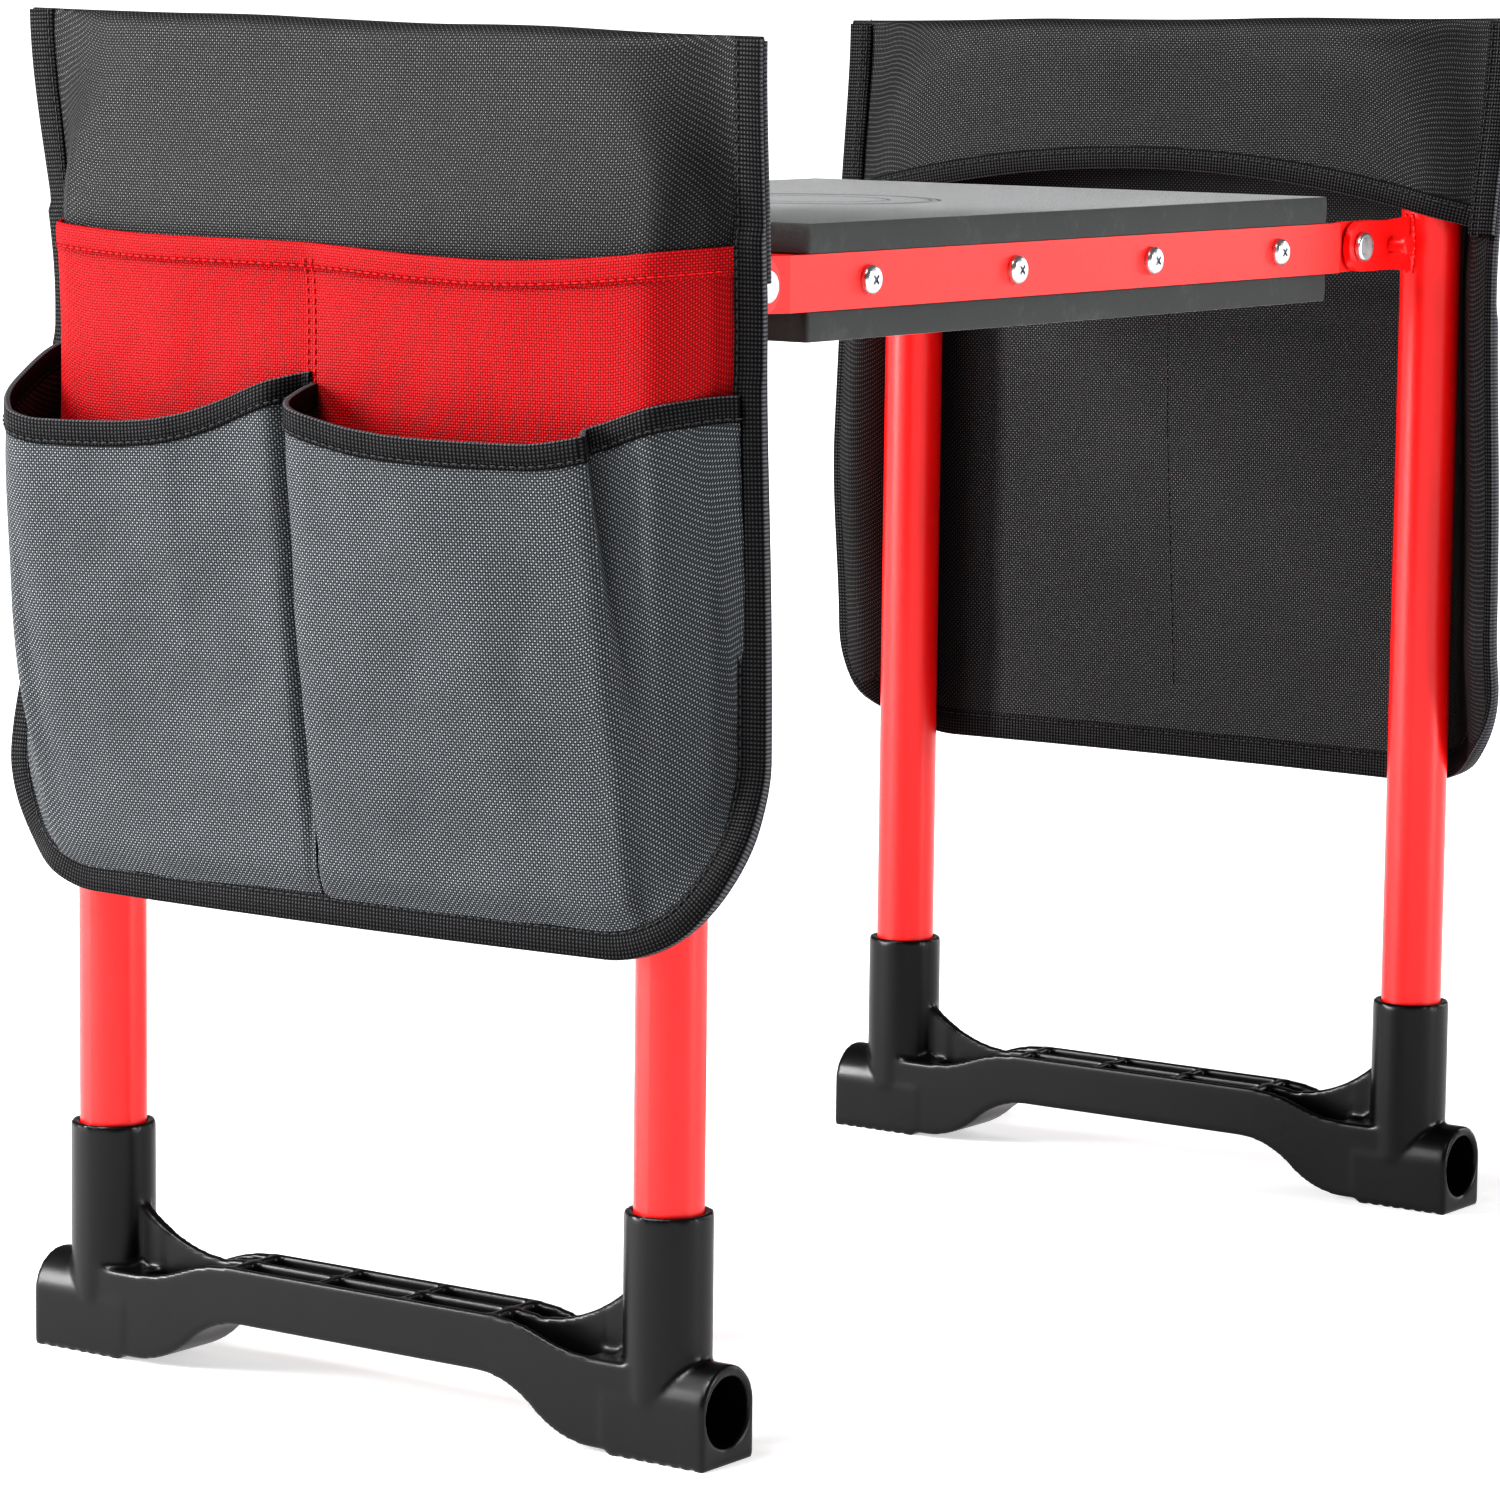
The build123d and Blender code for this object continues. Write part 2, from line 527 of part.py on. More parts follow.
def lock_spring(y):
    """An extension spring from the end plate's tab to the lock rod: hook, closed coil and long loop.

    It is drawn along its own axis: local z runs from the tab to the rod and local x is across the seat.
    """
    anchor = Plane((ANCHOR_X, y, ANCHOR_Z), x_dir=(0, 1, 0), z_dir=spring_axis)
    across = Plane(anchor.origin, x_dir=spring_axis, z_dir=(0, 1, 0))
    coil_end = LOOP_NEAR + 0.3
    with BuildPart() as spring:
        with BuildSketch(anchor.offset(COIL_START)):
            Circle(SPRING_RADIUS)
            Circle(SPRING_RADIUS - SPRING_WIRE, mode=Mode.SUBTRACT)
        extrude(amount=coil_end - COIL_START)
        with BuildLine(Plane(anchor.origin, x_dir=spring_axis, z_dir=anchor.x_dir.cross(spring_axis))) as hook:
            hook_radius = SPRING_RADIUS - SPRING_WIRE / 2
            Line((COIL_START + 0.5, hook_radius), (hook_radius, hook_radius))
            RadiusArc((hook_radius, hook_radius), (hook_radius, -hook_radius), -hook_radius)
            Line((hook_radius, -hook_radius), (COIL_START + 0.5, -hook_radius))
        with BuildSketch(Plane(hook.wires()[0] @ 0, z_dir=hook.wires()[0] % 0)):
            Circle(SPRING_WIRE / 2)
        sweep(path=hook.wires()[0])
        with BuildSketch(across):
            with Locations(((LOOP_NEAR + LOOP_FAR) / 2, 0)):
                outer_length = LOOP_FAR - LOOP_NEAR + 2 * SPRING_WIRE
                SlotOverall(outer_length, LOOP_WIDTH + 2 * SPRING_WIRE)
                SlotOverall(LOOP_FAR - LOOP_NEAR, LOOP_WIDTH, mode=Mode.SUBTRACT)
        extrude(amount=SPRING_WIRE / 2, both=True)
    return spring.part


for y, side_name in ((-SPRING_Y, "front"), (SPRING_Y, "rear")):
    save_pair(lock_spring(y), f"{side_name}_lock_spring")


# ---------------------------------------------------------------- tool bag
def panel_outline(top, inset=0.0):
    """The bag's outline in the Y-Z plane from the given top down to its rounded bottom corners."""
    half = BAG_HALF_WIDTH - inset
    low = BAG_BOTTOM + inset
    corner = BAG_CORNER - inset
    Line((-half, top), (half, top))
    Line((half, top), (half, low + corner))
    RadiusArc((half, low + corner), (half - corner, low), corner)
    Line((half - corner, low), (corner - half, low))
    RadiusArc((corner - half, low), (-half, low + corner), corner)
    Line((-half, low + corner), (-half, top))


def bag_plate(start_x, thickness, top, inset=0.0):
    """A flat plate of the bag's outline, start_x being its face nearest the seat."""
    with BuildPart() as plate:
        with BuildSketch(Plane.YZ.offset(start_x)):
            with BuildLine():
                panel_outline(top, inset)
            make_face()
        extrude(amount=thickness)
    return plate.part


PANEL_TOP = BAG_TOP - SLEEVE_ROUND
panel = bag_plate(PANEL_IN, CLOTH, PANEL_TOP)
save_pair(panel, "bag_outer_panel")

FLAP_LOW = FLAP_SIDE_Z - 1
with BuildPart() as bag_inner_flap:
    with BuildSketch(Plane.XZ):
        with Locations((LEG_X, FLAP_LOW)):
            tall = BAG_TOP - FLAP_LOW
            outside = Rectangle(2 * (SLEEVE_HALF + CLOTH), tall, align=(Align.CENTER, Align.MIN))
        fillet(outside.vertices().group_by(Axis.Y)[-1], radius=SLEEVE_ROUND)
    extrude(amount=BAG_HALF_WIDTH, both=True)
    with BuildSketch(Plane.XZ):
        with Locations((LEG_X, FLAP_LOW)):
            inside = Rectangle(2 * SLEEVE_HALF, tall - CLOTH, align=(Align.CENTER, Align.MIN))
        fillet(inside.vertices().group_by(Axis.Y)[-1], radius=SLEEVE_ROUND - CLOTH)
        with Locations((PANEL_IN, FLAP_LOW)):
            Rectangle(2 * CLOTH, PANEL_TOP - FLAP_LOW, align=(Align.CENTER, Align.MIN))
    extrude(amount=BAG_HALF_WIDTH, both=True, mode=Mode.SUBTRACT)
    with BuildSketch(Plane.YZ.offset(LEG_X - SLEEVE_HALF - CLOTH)):
        with BuildLine():
            ThreePointArc((BAG_HALF_WIDTH, FLAP_SIDE_Z), (0, FLAP_MIDDLE_Z), (-BAG_HALF_WIDTH, FLAP_SIDE_Z))
            Polyline(
                (-BAG_HALF_WIDTH, FLAP_SIDE_Z),
                (-BAG_HALF_WIDTH, FLAP_LOW),
                (BAG_HALF_WIDTH, FLAP_LOW),
                (BAG_HALF_WIDTH, FLAP_SIDE_Z),
            )
        make_face()
    extrude(amount=2 * CLOTH, mode=Mode.SUBTRACT)
save_pair(bag_inner_flap.part, "bag_inner_flap")

with BuildPart() as bag_binding:
    add(bag_plate(PANEL_IN - BINDING_UNDER, CLOTH + BINDING_UNDER + BINDING_PROUD, PANEL_TOP, -BINDING_PROUD))
    add(bag_plate(PANEL_IN - 2 * CLOTH, 5 * CLOTH, PANEL_TOP, BINDING_WIDTH), mode=Mode.SUBTRACT)
    add(panel, mode=Mode.SUBTRACT)
save_pair(bag_binding.part, "bag_binding")

with BuildPart() as bag_red_pocket:
    add(bag_plate(PANEL_OUT, RED_GAP + CLOTH, RED_TOP, POCKET_INSET))
    add(bag_plate(PANEL_OUT, RED_GAP, RED_TOP, POCKET_INSET + CLOTH), mode=Mode.SUBTRACT)
save_pair(bag_red_pocket.part, "bag_red_pocket")


def pocket_block(wall, start_y, width):
    """The space of a front pocket from start_y on, wedge-shaped, shrunk inwards by the wall thickness."""
    bottom = BAG_BOTTOM + POCKET_INSET + wall
    front = RED_OUT + POCKET_DEPTH - wall
    with BuildPart() as block:
        with BuildSketch(Plane.XZ.offset(-start_y)):
            with BuildLine():
                Polyline(
                    (RED_OUT + wall, bottom),
                    (RED_OUT + wall, POCKET_TOP),
                    (front, POCKET_TOP),
                    (front - POCKET_LEAN, POCKET_KNEE_Z),
                    (RED_OUT + POCKET_FOOT - wall / 2, bottom),
                    close=True,
                )
            make_face()
        extrude(amount=-width)
        add(bag_plate(RED_OUT, POCKET_DEPTH, POCKET_TOP, POCKET_INSET + wall), mode=Mode.INTERSECT)
    return block.part


with BuildPart() as bag_front_pockets:
    add(pocket_block(0, -BAG_HALF_WIDTH, 2 * BAG_HALF_WIDTH))
    add(pocket_block(CLOTH, CLOTH / 2, BAG_HALF_WIDTH), mode=Mode.SUBTRACT)
    add(pocket_block(CLOTH, -CLOTH / 2 - BAG_HALF_WIDTH, BAG_HALF_WIDTH), mode=Mode.SUBTRACT)
save_pair(bag_front_pockets.part, "bag_front_pockets")
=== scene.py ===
"""Looks of the garden kneeler seat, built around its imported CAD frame. Metres, +Z up."""

import math

import bmesh
import bpy
import numpy as np
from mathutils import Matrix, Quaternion, Vector, noise


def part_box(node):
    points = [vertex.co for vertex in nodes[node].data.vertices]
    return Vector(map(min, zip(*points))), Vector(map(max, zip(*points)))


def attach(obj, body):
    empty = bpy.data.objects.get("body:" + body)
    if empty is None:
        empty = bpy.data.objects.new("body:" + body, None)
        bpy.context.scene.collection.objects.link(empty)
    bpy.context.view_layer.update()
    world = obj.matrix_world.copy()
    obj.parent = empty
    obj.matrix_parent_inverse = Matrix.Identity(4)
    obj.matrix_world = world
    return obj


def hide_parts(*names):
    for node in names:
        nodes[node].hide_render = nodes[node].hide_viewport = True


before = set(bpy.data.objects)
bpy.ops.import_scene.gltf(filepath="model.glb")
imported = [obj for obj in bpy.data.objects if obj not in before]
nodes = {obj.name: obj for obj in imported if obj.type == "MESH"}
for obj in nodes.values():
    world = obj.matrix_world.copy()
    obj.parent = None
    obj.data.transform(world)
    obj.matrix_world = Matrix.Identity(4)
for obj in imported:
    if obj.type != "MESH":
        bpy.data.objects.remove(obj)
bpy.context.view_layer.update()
MM = 0.001

# ---- places read from the frame
tube_low, tube_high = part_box("right_leg_tube")
panel_low, panel_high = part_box("right_bag_outer_panel")
flap_low, flap_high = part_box("right_bag_inner_flap")
red_low, red_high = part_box("right_bag_red_pocket")
pocket_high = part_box("right_bag_front_pockets")[1]
LEG_X = (tube_low.x + tube_high.x) / 2
TUBE_RADIUS = (tube_high.x - tube_low.x) / 2
LEG_Y = tube_high.y - TUBE_RADIUS
BAG_HALF = panel_high.y
BAG_BOTTOM = panel_low.z
BAG_TOP = flap_high.z
FLAP_SIDE_Z = flap_low.z
FLAP_MIDDLE_Z = FLAP_SIDE_Z + 23 * MM
RED_TOP = red_high.z
POCKET_TOP = pocket_high.z
PANEL_U = (panel_low.x + panel_high.x) / 2 - LEG_X
CORNER = 48 * MM
BEND = 48 * MM
TAPE_WIDTH = 11.5 * MM
MOUTH_TAPE = 9.5 * MM
EDGE_STITCH = 2.6 * MM
SECOND_STITCH = 5.6 * MM
SEAM_LAP = 6 * MM
DIVIDER_Y = 12 * MM
FOLD_DEPTH = 9 * MM
HEM_DEPTH = 9 * MM
HEM_CLOTH = 0.55 * MM
HEM_STITCH = 1.4 * MM
TWIN_STITCH = 1.6 * MM
FLARE = 2.5 * MM
WAIST = 4 * MM
CLOTH = 1.1 * MM
POCKET_DEPTH = pocket_high.x - red_high.x
RED_DEPTH = red_high.x - red_low.x
SIDES = {"left": -1, "right": 1}
ENDS = {"front": -1, "rear": 1}
SEEDS = {-1: 17.0, 1: 3.0}
SWINGS = {-1: 21 * MM, 1: 8 * MM}


# ---- small helpers
def smooth(t):
    """Eases from 0 to 1 as t goes from 0 to 1."""
    t = min(1.0, max(0.0, t))
    return t * t * (3 - 2 * t)


def hump(distance, width):
    """1 at no distance, easing down to 0 on both sides."""
    return math.exp(-((distance / width) ** 2))


def wave(a, b, size, seed):
    """Even noise from -1 to 1 whose waves are about that many metres long."""
    return noise.noise(Vector((a / size, b / size, seed)))


def unit(v):
    return v / max(np.linalg.norm(v), 1e-9)


def units(vectors):
    return np.array([unit(v) for v in vectors])


def placed(name, data):
    made = bpy.data.objects.new(name, data)
    bpy.context.scene.collection.objects.link(made)
    return made


def new_object(name, verts, faces, material):
    mesh = bpy.data.meshes.new(name)
    mesh.from_pydata([tuple(v) for v in verts], [], faces)
    mesh.update()
    mesh.materials.append(material)
    mesh.shade_smooth()
    return placed(name, mesh)


def flat_map(made, flat):
    """Gives each corner of a face its place on the flat cloth, in metres, for the weave."""
    layer = made.data.uv_layers.new(name="cloth")
    index = np.zeros(len(made.data.loops), np.int32)
    made.data.loops.foreach_get("vertex_index", index)
    layer.data.foreach_set("uv", np.asarray(flat, np.float32)[index].ravel())


def grid_sheet(name, points, flat, material, flip=False, closed_rows=False):
    """A quad sheet from rows and columns of points, with its place on the flat cloth."""
    rows, columns = points.shape[:2]
    faces = []
    last = rows if closed_rows else rows - 1
    for i in range(last):
        for j in range(columns - 1):
            k = (i + 1) % rows
            quad = (i * columns + j, i * columns + j + 1, k * columns + j + 1, k * columns + j)
            faces.append(quad[::-1] if flip else quad)
    made = new_object(name, points.reshape(-1, 3), faces, material)
    flat_map(made, flat.reshape(-1, 2))
    return made


def grid_of(point, steps, places):
    """A grid of points: one row for each step, with one point for each place across."""
    return np.array([[point(step, place) for place in places] for step in steps])


def line_lengths(points):
    """Distance along a line of points, from its first."""
    return np.concatenate([[0], np.cumsum(np.linalg.norm(np.diff(points, axis=0), axis=1))])


def path_lengths(points):
    """Distance along each column of a grid of points, from its first row."""
    steps = np.linalg.norm(np.diff(points, axis=0), axis=2)
    return np.vstack([np.zeros(points.shape[1]), np.cumsum(steps, axis=0)])


def cloth_places(points):
    """Each point's place on the flat cloth: across from the middle column, and up from the first row."""
    across = path_lengths(points.transpose(1, 0, 2)).T
    middle = across[:, points.shape[1] // 2]
    return np.stack([across - middle[:, None], path_lengths(points)], axis=2)


def rounded_path(corners, bends):
    """A line through corners, each inner one eased into a curve that starts its bend away from it."""
    points = [corners[0]]
    for before, corner, after, bend in zip(corners, corners[1:], corners[2:], bends):
        start = corner + unit(before - corner) * bend
        stop = corner + unit(after - corner) * bend
        for t in np.linspace(0, 1, 13):
            points.append((1 - t) ** 2 * start + 2 * t * (1 - t) * corner + t * t * stop)
    return np.array(points + [corners[-1]])


def cloth_sheet(name, points, material, flip, thickness=CLOTH):
    """A sheet of cloth with its middle on a grid of points, and its height along the cloth."""
    made = grid_sheet(name, points, cloth_places(points), material, flip)
    solid = made.modifiers.new("thickness", "SOLIDIFY")
    solid.thickness = thickness
    solid.offset = 0.0
    solid.use_even_offset = True
    solid.use_quality_normals = True
    return made, float(path_lengths(points)[-1].max())


def resample(points, pitch):
    """Points one pitch apart along a line, and the line's direction at each."""
    along = line_lengths(points)
    places = np.arange(pitch / 2, along[-1], pitch)

    def at(distances):
        return np.stack([np.interp(distances, along, points[:, i]) for i in range(3)], axis=1)

    return places / along[-1], at(places), at(places + pitch / 4) - at(places - pitch / 4)


def ring_points(middle, radius, across, up, sides):
    turns = [2 * math.pi * k / sides for k in range(sides)]
    return [middle + radius * (math.cos(a) * across + math.sin(a) * up) for a in turns]


def tube_faces(start, rings, sides):
    """Quads round a tube whose rings of points begin at that one, and a cap on each end."""
    faces = []
    for ring in range(rings - 1):
        for k in range(sides):
            a, b = start + ring * sides + k, start + ring * sides + (k + 1) % sides
            faces.append((a, b, b + sides, a + sides))
    end = start + (rings - 1) * sides
    faces.append(tuple(range(start, start + sides))[::-1])
    faces.append(tuple(range(end, end + sides)))
    return faces


STITCH_PITCH = 3.6 * MM
STITCH_LENGTH = 2.7 * MM
THREAD = 0.32 * MM


def stitches(name, lines, material):
    """Thread stitches along lines, each given as (points, outward directions)."""
    verts, faces = [], []
    sides = 5
    # A stitch dips into the cloth at both ends: (place along it, share of its thickness, rise).
    stations = ((-0.5, 0.25, -0.35), (-0.3, 0.9, 0.25), (0, 1.0, 0.45), (0.3, 0.9, 0.25), (0.5, 0.25, -0.35))
    for points, outs in lines:
        share, spots, ways = resample(points, STITCH_PITCH)
        where = share * (len(points) - 1)
        out = np.stack([np.interp(where, range(len(points)), outs[:, i]) for i in range(3)], axis=1)
        for spot, way, up in zip(spots, ways, out):
            way, up = unit(way), unit(up)
            across = unit(np.cross(way, up))
            faces += tube_faces(len(verts), len(stations), sides)
            for along, size, rise in stations:
                middle = spot + way * along * STITCH_LENGTH + up * rise * THREAD
                verts += ring_points(middle, THREAD * size, across, up, sides)
    return new_object(name, verts, faces, material)


def tape(name, edge, inward, normal, width, outer, inner, material, flip=False):
    """A bound edge: tape folded over a cloth edge, lying that wide on both of its faces.

    outer and inner are how far its two faces stand from the edge's own line, along the normal.
    """
    count = len(edge)
    outer = np.broadcast_to(outer, count)
    inner = np.broadcast_to(inner, count)
    along = line_lengths(edge)
    section = ((1.0, 0.62), (0.97, 1.0), (0.5, 1.04), (0.08, 1.0), (0.02, 0.7), (0.0, 0.0))
    profile = [(w, h, 1) for w, h in section] + [(w, h, -1) for w, h in section[-2::-1]]
    points = np.zeros((len(profile), count, 3))
    flat = np.zeros((len(profile), count, 2))
    for i, (w, h, face) in enumerate(profile):
        stand = np.where(face > 0, outer, inner) * h * face
        wobble = np.array([wave(a, i * 7.0, 0.012, 3.1) for a in along]) * 0.25 * MM * (w > 0.9)
        points[i] = edge + inward * (w * width + wobble)[:, None] + normal * stand[:, None]
        flat[i] = np.stack([along, np.full(count, face * (w * width + 0.4 * h * MM))], axis=1)
    made = grid_sheet(name, points, flat, material, flip, closed_rows=True)
    work = bmesh.new()
    work.from_mesh(made.data)
    work.verts.ensure_lookup_table()
    for end in (0, count - 1):
        ring = [work.verts[i * count + end] for i in range(len(profile))]
        work.faces.new(ring if (end == 0) != flip else ring[::-1])
    bmesh.ops.recalc_face_normals(work, faces=work.faces)
    work.to_mesh(made.data)
    work.free()
    return made


# ---- materials
class Nodes:
    """Short ways to make the nodes of one material."""

    def __init__(self, name):
        self.material = bpy.data.materials.new(name)
        self.material.use_nodes = True
        self.tree = self.material.node_tree
        self.shader = self.tree.nodes["Principled BSDF"]

    def node(self, kind, **settings):
        made = self.tree.nodes.new(kind)
        for key, value in settings.items():
            setattr(made, key, value)
        return made

    def feed(self, socket, value):
        if isinstance(value, (int, float, tuple)):
            socket.default_value = value
        else:
            self.tree.links.new(value, socket)

    def math(self, operation, a, b=0.0):
        made = self.node("ShaderNodeMath", operation=operation)
        for socket, value in zip(made.inputs, (a, b)):
            self.feed(socket, value)
        return made.outputs[0]

    def remap(self, value, low, high, to_low, to_high):
        made = self.node("ShaderNodeMapRange")
        for socket, v in zip(made.inputs, (value, low, high, to_low, to_high)):
            self.feed(socket, v)
        return made.outputs[0]

    def mix(self, share, a, b):
        made = self.node("ShaderNodeMix", data_type="RGBA")
        for key, value in (("Factor", share), ("A", a), ("B", b)):
            socket = next(s for s in made.inputs if s.name == key and s.enabled)
            self.feed(socket, value)
        return next(s for s in made.outputs if s.enabled)

    def noise(self, scale, detail=2.0, place=None, rough=0.5):
        made = self.node("ShaderNodeTexNoise")
        self.feed(made.inputs["Scale"], scale)
        self.feed(made.inputs["Detail"], detail)
        self.feed(made.inputs["Roughness"], rough)
        self.tree.links.new(place or self.place(), made.inputs["Vector"])
        return made.outputs["Fac"]

    def cells(self, scale):
        made = self.node("ShaderNodeTexVoronoi")
        self.feed(made.inputs["Scale"], scale)
        self.tree.links.new(self.place(), made.inputs["Vector"])
        return made.outputs["Distance"]

    def place(self):
        return self.node("ShaderNodeTexCoord").outputs["Object"]

    def cloth_place(self):
        return self.node("ShaderNodeUVMap", uv_map="cloth").outputs[0]

    def ridges(self, place, pitch):
        """Rises to 1 and falls back to 0 once in every pitch."""
        return self.math("ABSOLUTE", self.math("SINE", self.math("MULTIPLY", place, math.pi / pitch)))

    def split(self, vector):
        made = self.node("ShaderNodeSeparateXYZ")
        self.tree.links.new(vector, made.inputs[0])
        return made.outputs

    def bump(self, height, distance, strength):
        made = self.node("ShaderNodeBump")
        self.feed(made.inputs["Height"], height)
        made.inputs["Distance"].default_value = distance
        made.inputs["Strength"].default_value = strength
        return made.outputs[0]

    def finish(self, colour, roughness, normal=None, **constants):
        self.feed(self.shader.inputs["Base Color"], colour)
        self.feed(self.shader.inputs["Roughness"], roughness)
        if normal is not None:
            self.tree.links.new(normal, self.shader.inputs["Normal"])
        for key, value in constants.items():
            self.shader.inputs[key.replace("_", " ")].default_value = value
        return self.material


def shade(colour, factor):
    return tuple(c * factor for c in colour[:3]) + (1.0,)


def powder_coat(name, colour, roughness, coat):
    """Powder-coated steel: even colour, faint orange peel and slight cloudiness in the gloss."""
    n = Nodes(name)
    cloud = n.noise(22.0, 3.0)
    speck = n.noise(900.0, 1.0)
    tone = n.mix(n.remap(cloud, 0.3, 0.7, 0.0, 1.0), shade(colour, 0.93), shade(colour, 1.04))
    gloss = n.remap(speck, 0.3, 0.7, roughness * 0.95, roughness * 1.08)
    peel = n.bump(n.noise(260.0, 1.0), 0.00002, 0.3)
    settings = {"Coat_Weight": coat, "Coat_Roughness": 0.25, "Specular_IOR_Level": 0.5}
    return n.finish(tone, gloss, peel, **settings)


def zinc(name):
    """Bright zinc plate with a soft brushed grain and slightly dull patches."""
    n = Nodes(name)
    cloud = n.noise(400.0, 4.0)
    tone = n.mix(cloud, (0.50, 0.51, 0.53, 1), (0.82, 0.83, 0.84, 1))
    gloss = n.remap(n.noise(160.0, 3.0), 0.3, 0.7, 0.2, 0.38)
    return n.finish(tone, gloss, n.bump(n.noise(1500.0, 2.0), 0.00003, 0.5), Metallic=1.0)


def moulded(name, colour, roughness, grain_scale, grain_depth, pore=0.0):
    """Moulded plastic or rubber: fine grain, uneven gloss and faint scuffs."""
    n = Nodes(name)
    grain = n.noise(grain_scale, 3.0, rough=0.6)
    cloud = n.noise(14.0, 3.0)
    scuff = n.noise(90.0, 5.0, rough=0.7)
    tone = n.mix(n.remap(scuff, 0.55, 0.8, 0.0, 0.5), shade(colour, 1.0), shade(colour, 1.9))
    mottle = n.math("ADD", cloud, n.math("MULTIPLY", grain, 0.5))
    gloss = n.remap(mottle, 0.5, 1.0, roughness - 0.06, roughness + 0.08)
    height = grain
    if pore:
        pits = n.remap(n.cells(1 / pore), 0.0, 0.5, 0.0, 1.0)
        height = n.math("ADD", grain, pits)
        # Painted shade in the pores: each pit darker towards its middle.
        tone = n.mix(n.remap(pits, 0.0, 0.5, 0.45, 0.0), tone, shade(colour, 0.55))
    return n.finish(tone, gloss, n.bump(height, grain_depth, 0.6), Specular_IOR_Level=0.35)


def foam_face(name, colour, pitch):
    """The pad's faces: foam pressed with a fine crossed mesh of little squares, their grooves painted darker
    as painted shade and their tops lighter as painted highlight.
    """
    n = Nodes(name)
    x, y, _ = n.split(n.place())
    across, along = n.ridges(x, pitch), n.ridges(y, pitch)
    square = n.math("MULTIPLY", n.math("POWER", across, 0.5), n.math("POWER", along, 0.5))
    grain = n.noise(700.0, 2.0)
    # Painted shade in the grooves between the squares and painted highlight on their tops.
    tone = n.mix(square, shade(colour, 0.5), shade(colour, 1.35))
    tone = n.mix(n.remap(n.noise(9.0, 3.0), 0.3, 0.7, 0.0, 0.25), tone, shade(colour, 0.8))
    height = n.math("ADD", square, n.math("MULTIPLY", grain, 0.2))
    gloss = n.remap(grain, 0.3, 0.7, 0.5, 0.62)
    settings = {"Specular_IOR_Level": 0.32, "Sheen_Weight": 0.45, "Sheen_Roughness": 0.35}
    return n.finish(tone, gloss, n.bump(height, 0.00025, 0.7), **settings)


def woven(name, colour, pitch, gap, crest, gloss, specular):
    """Coarse coated polyester in plain weave: round yarns, painted shade in the gaps between them, and a
    painted glint on each upper yarn.

    gap and crest are how much darker and lighter than the colour the gaps and the yarns' tops are painted:
    painted shade in the gaps, and a painted glint on the tops.
    """
    n = Nodes(name)
    u, v, _ = n.split(n.cloth_place())
    drift = n.math("MULTIPLY", n.noise(40.0, 2.0, n.cloth_place()), 0.4)
    a = n.math("ADD", n.math("DIVIDE", u, pitch), drift)
    b = n.math("ADD", n.math("DIVIDE", v, pitch), drift)
    over = n.math("PINGPONG", n.math("ADD", n.math("FLOOR", a), n.math("FLOOR", b)), 1.0)
    warp, weft = n.ridges(a, 1.0), n.ridges(b, 1.0)
    warp_dome = n.math("MULTIPLY", n.math("POWER", warp, 0.7), n.remap(weft, 0.0, 1.0, 0.15, 1.0))
    weft_dome = n.math("MULTIPLY", n.math("POWER", weft, 0.7), n.remap(warp, 0.0, 1.0, 0.1, 0.6))
    upper_warp = n.math("MULTIPLY", warp_dome, over)
    upper_weft = n.math("MULTIPLY", weft_dome, n.math("SUBTRACT", 1.0, over))
    dome = n.math("ADD", upper_warp, upper_weft)
    fibre = n.noise(2600.0, 2.0)
    glint_patches = n.noise(60.0, 4.0, rough=0.6)
    yarn = n.math("ADD", dome, n.math("MULTIPLY", n.math("SUBTRACT", fibre, 0.5), 0.3))
    # Gaps between the yarns painted darker than the yarns: painted shade.
    tone = n.mix(n.remap(yarn, 0.1, 0.6, 0.0, 1.0), shade(colour, gap), shade(colour, 1.0))
    # A painted glint: the colour crest painted on the top of each upper yarn, stronger in some patches than
    # others.
    painted_glint = n.math("MULTIPLY", n.remap(yarn, 0.5, 0.95, 0.0, 1.0), n.remap(glint_patches, 0.3, 0.7, 0.75, 1.0))
    tone = n.mix(painted_glint, tone, crest)
    shine = n.remap(dome, 0.0, 1.0, 0.8, gloss)
    normal = n.bump(yarn, 0.0002, 0.7)
    return n.finish(tone, shine, normal, Specular_IOR_Level=specular)


def ribbed_tape(name, colour, pitch):
    """Woven edge tape: ribs across its width, split by a fine weft, with painted highlight on the rib tops,
    painted shade between them and a painted highlight along the fold.
    """
    n = Nodes(name)
    u, v, _ = n.split(n.cloth_place())
    rib, pick = n.ridges(u, pitch), n.ridges(v, pitch * 0.9)
    dome = n.math("MULTIPLY", n.math("POWER", rib, 0.7), n.remap(pick, 0.0, 1.0, 0.45, 1.0))
    fibre = n.noise(2200.0, 2.0)
    height = n.math("ADD", dome, n.math("MULTIPLY", fibre, 0.25))
    # Painted highlight on the rib tops and painted shade in the grooves between them.
    tone = n.mix(n.remap(dome, 0.62, 1.0, 0.0, 1.0), shade(colour, 0.3), shade(colour, 13.0))
    tone = n.mix(n.remap(fibre, 0.58, 0.75, 0.0, 0.4), tone, shade(colour, 6.0))
    # Painted highlight along the tape's fold, where its two faces meet.
    crest = n.math("MULTIPLY", n.remap(n.math("ABSOLUTE", v), 0.3 * MM, 1.1 * MM, 1.0, 0.0), dome)
    tone = n.mix(n.math("MULTIPLY", crest, 0.7), tone, shade(colour, 50.0))
    shine = n.remap(dome, 0.0, 1.0, 0.85, 0.45)
    return n.finish(tone, shine, n.bump(height, 0.0003, 0.9), Specular_IOR_Level=0.18)


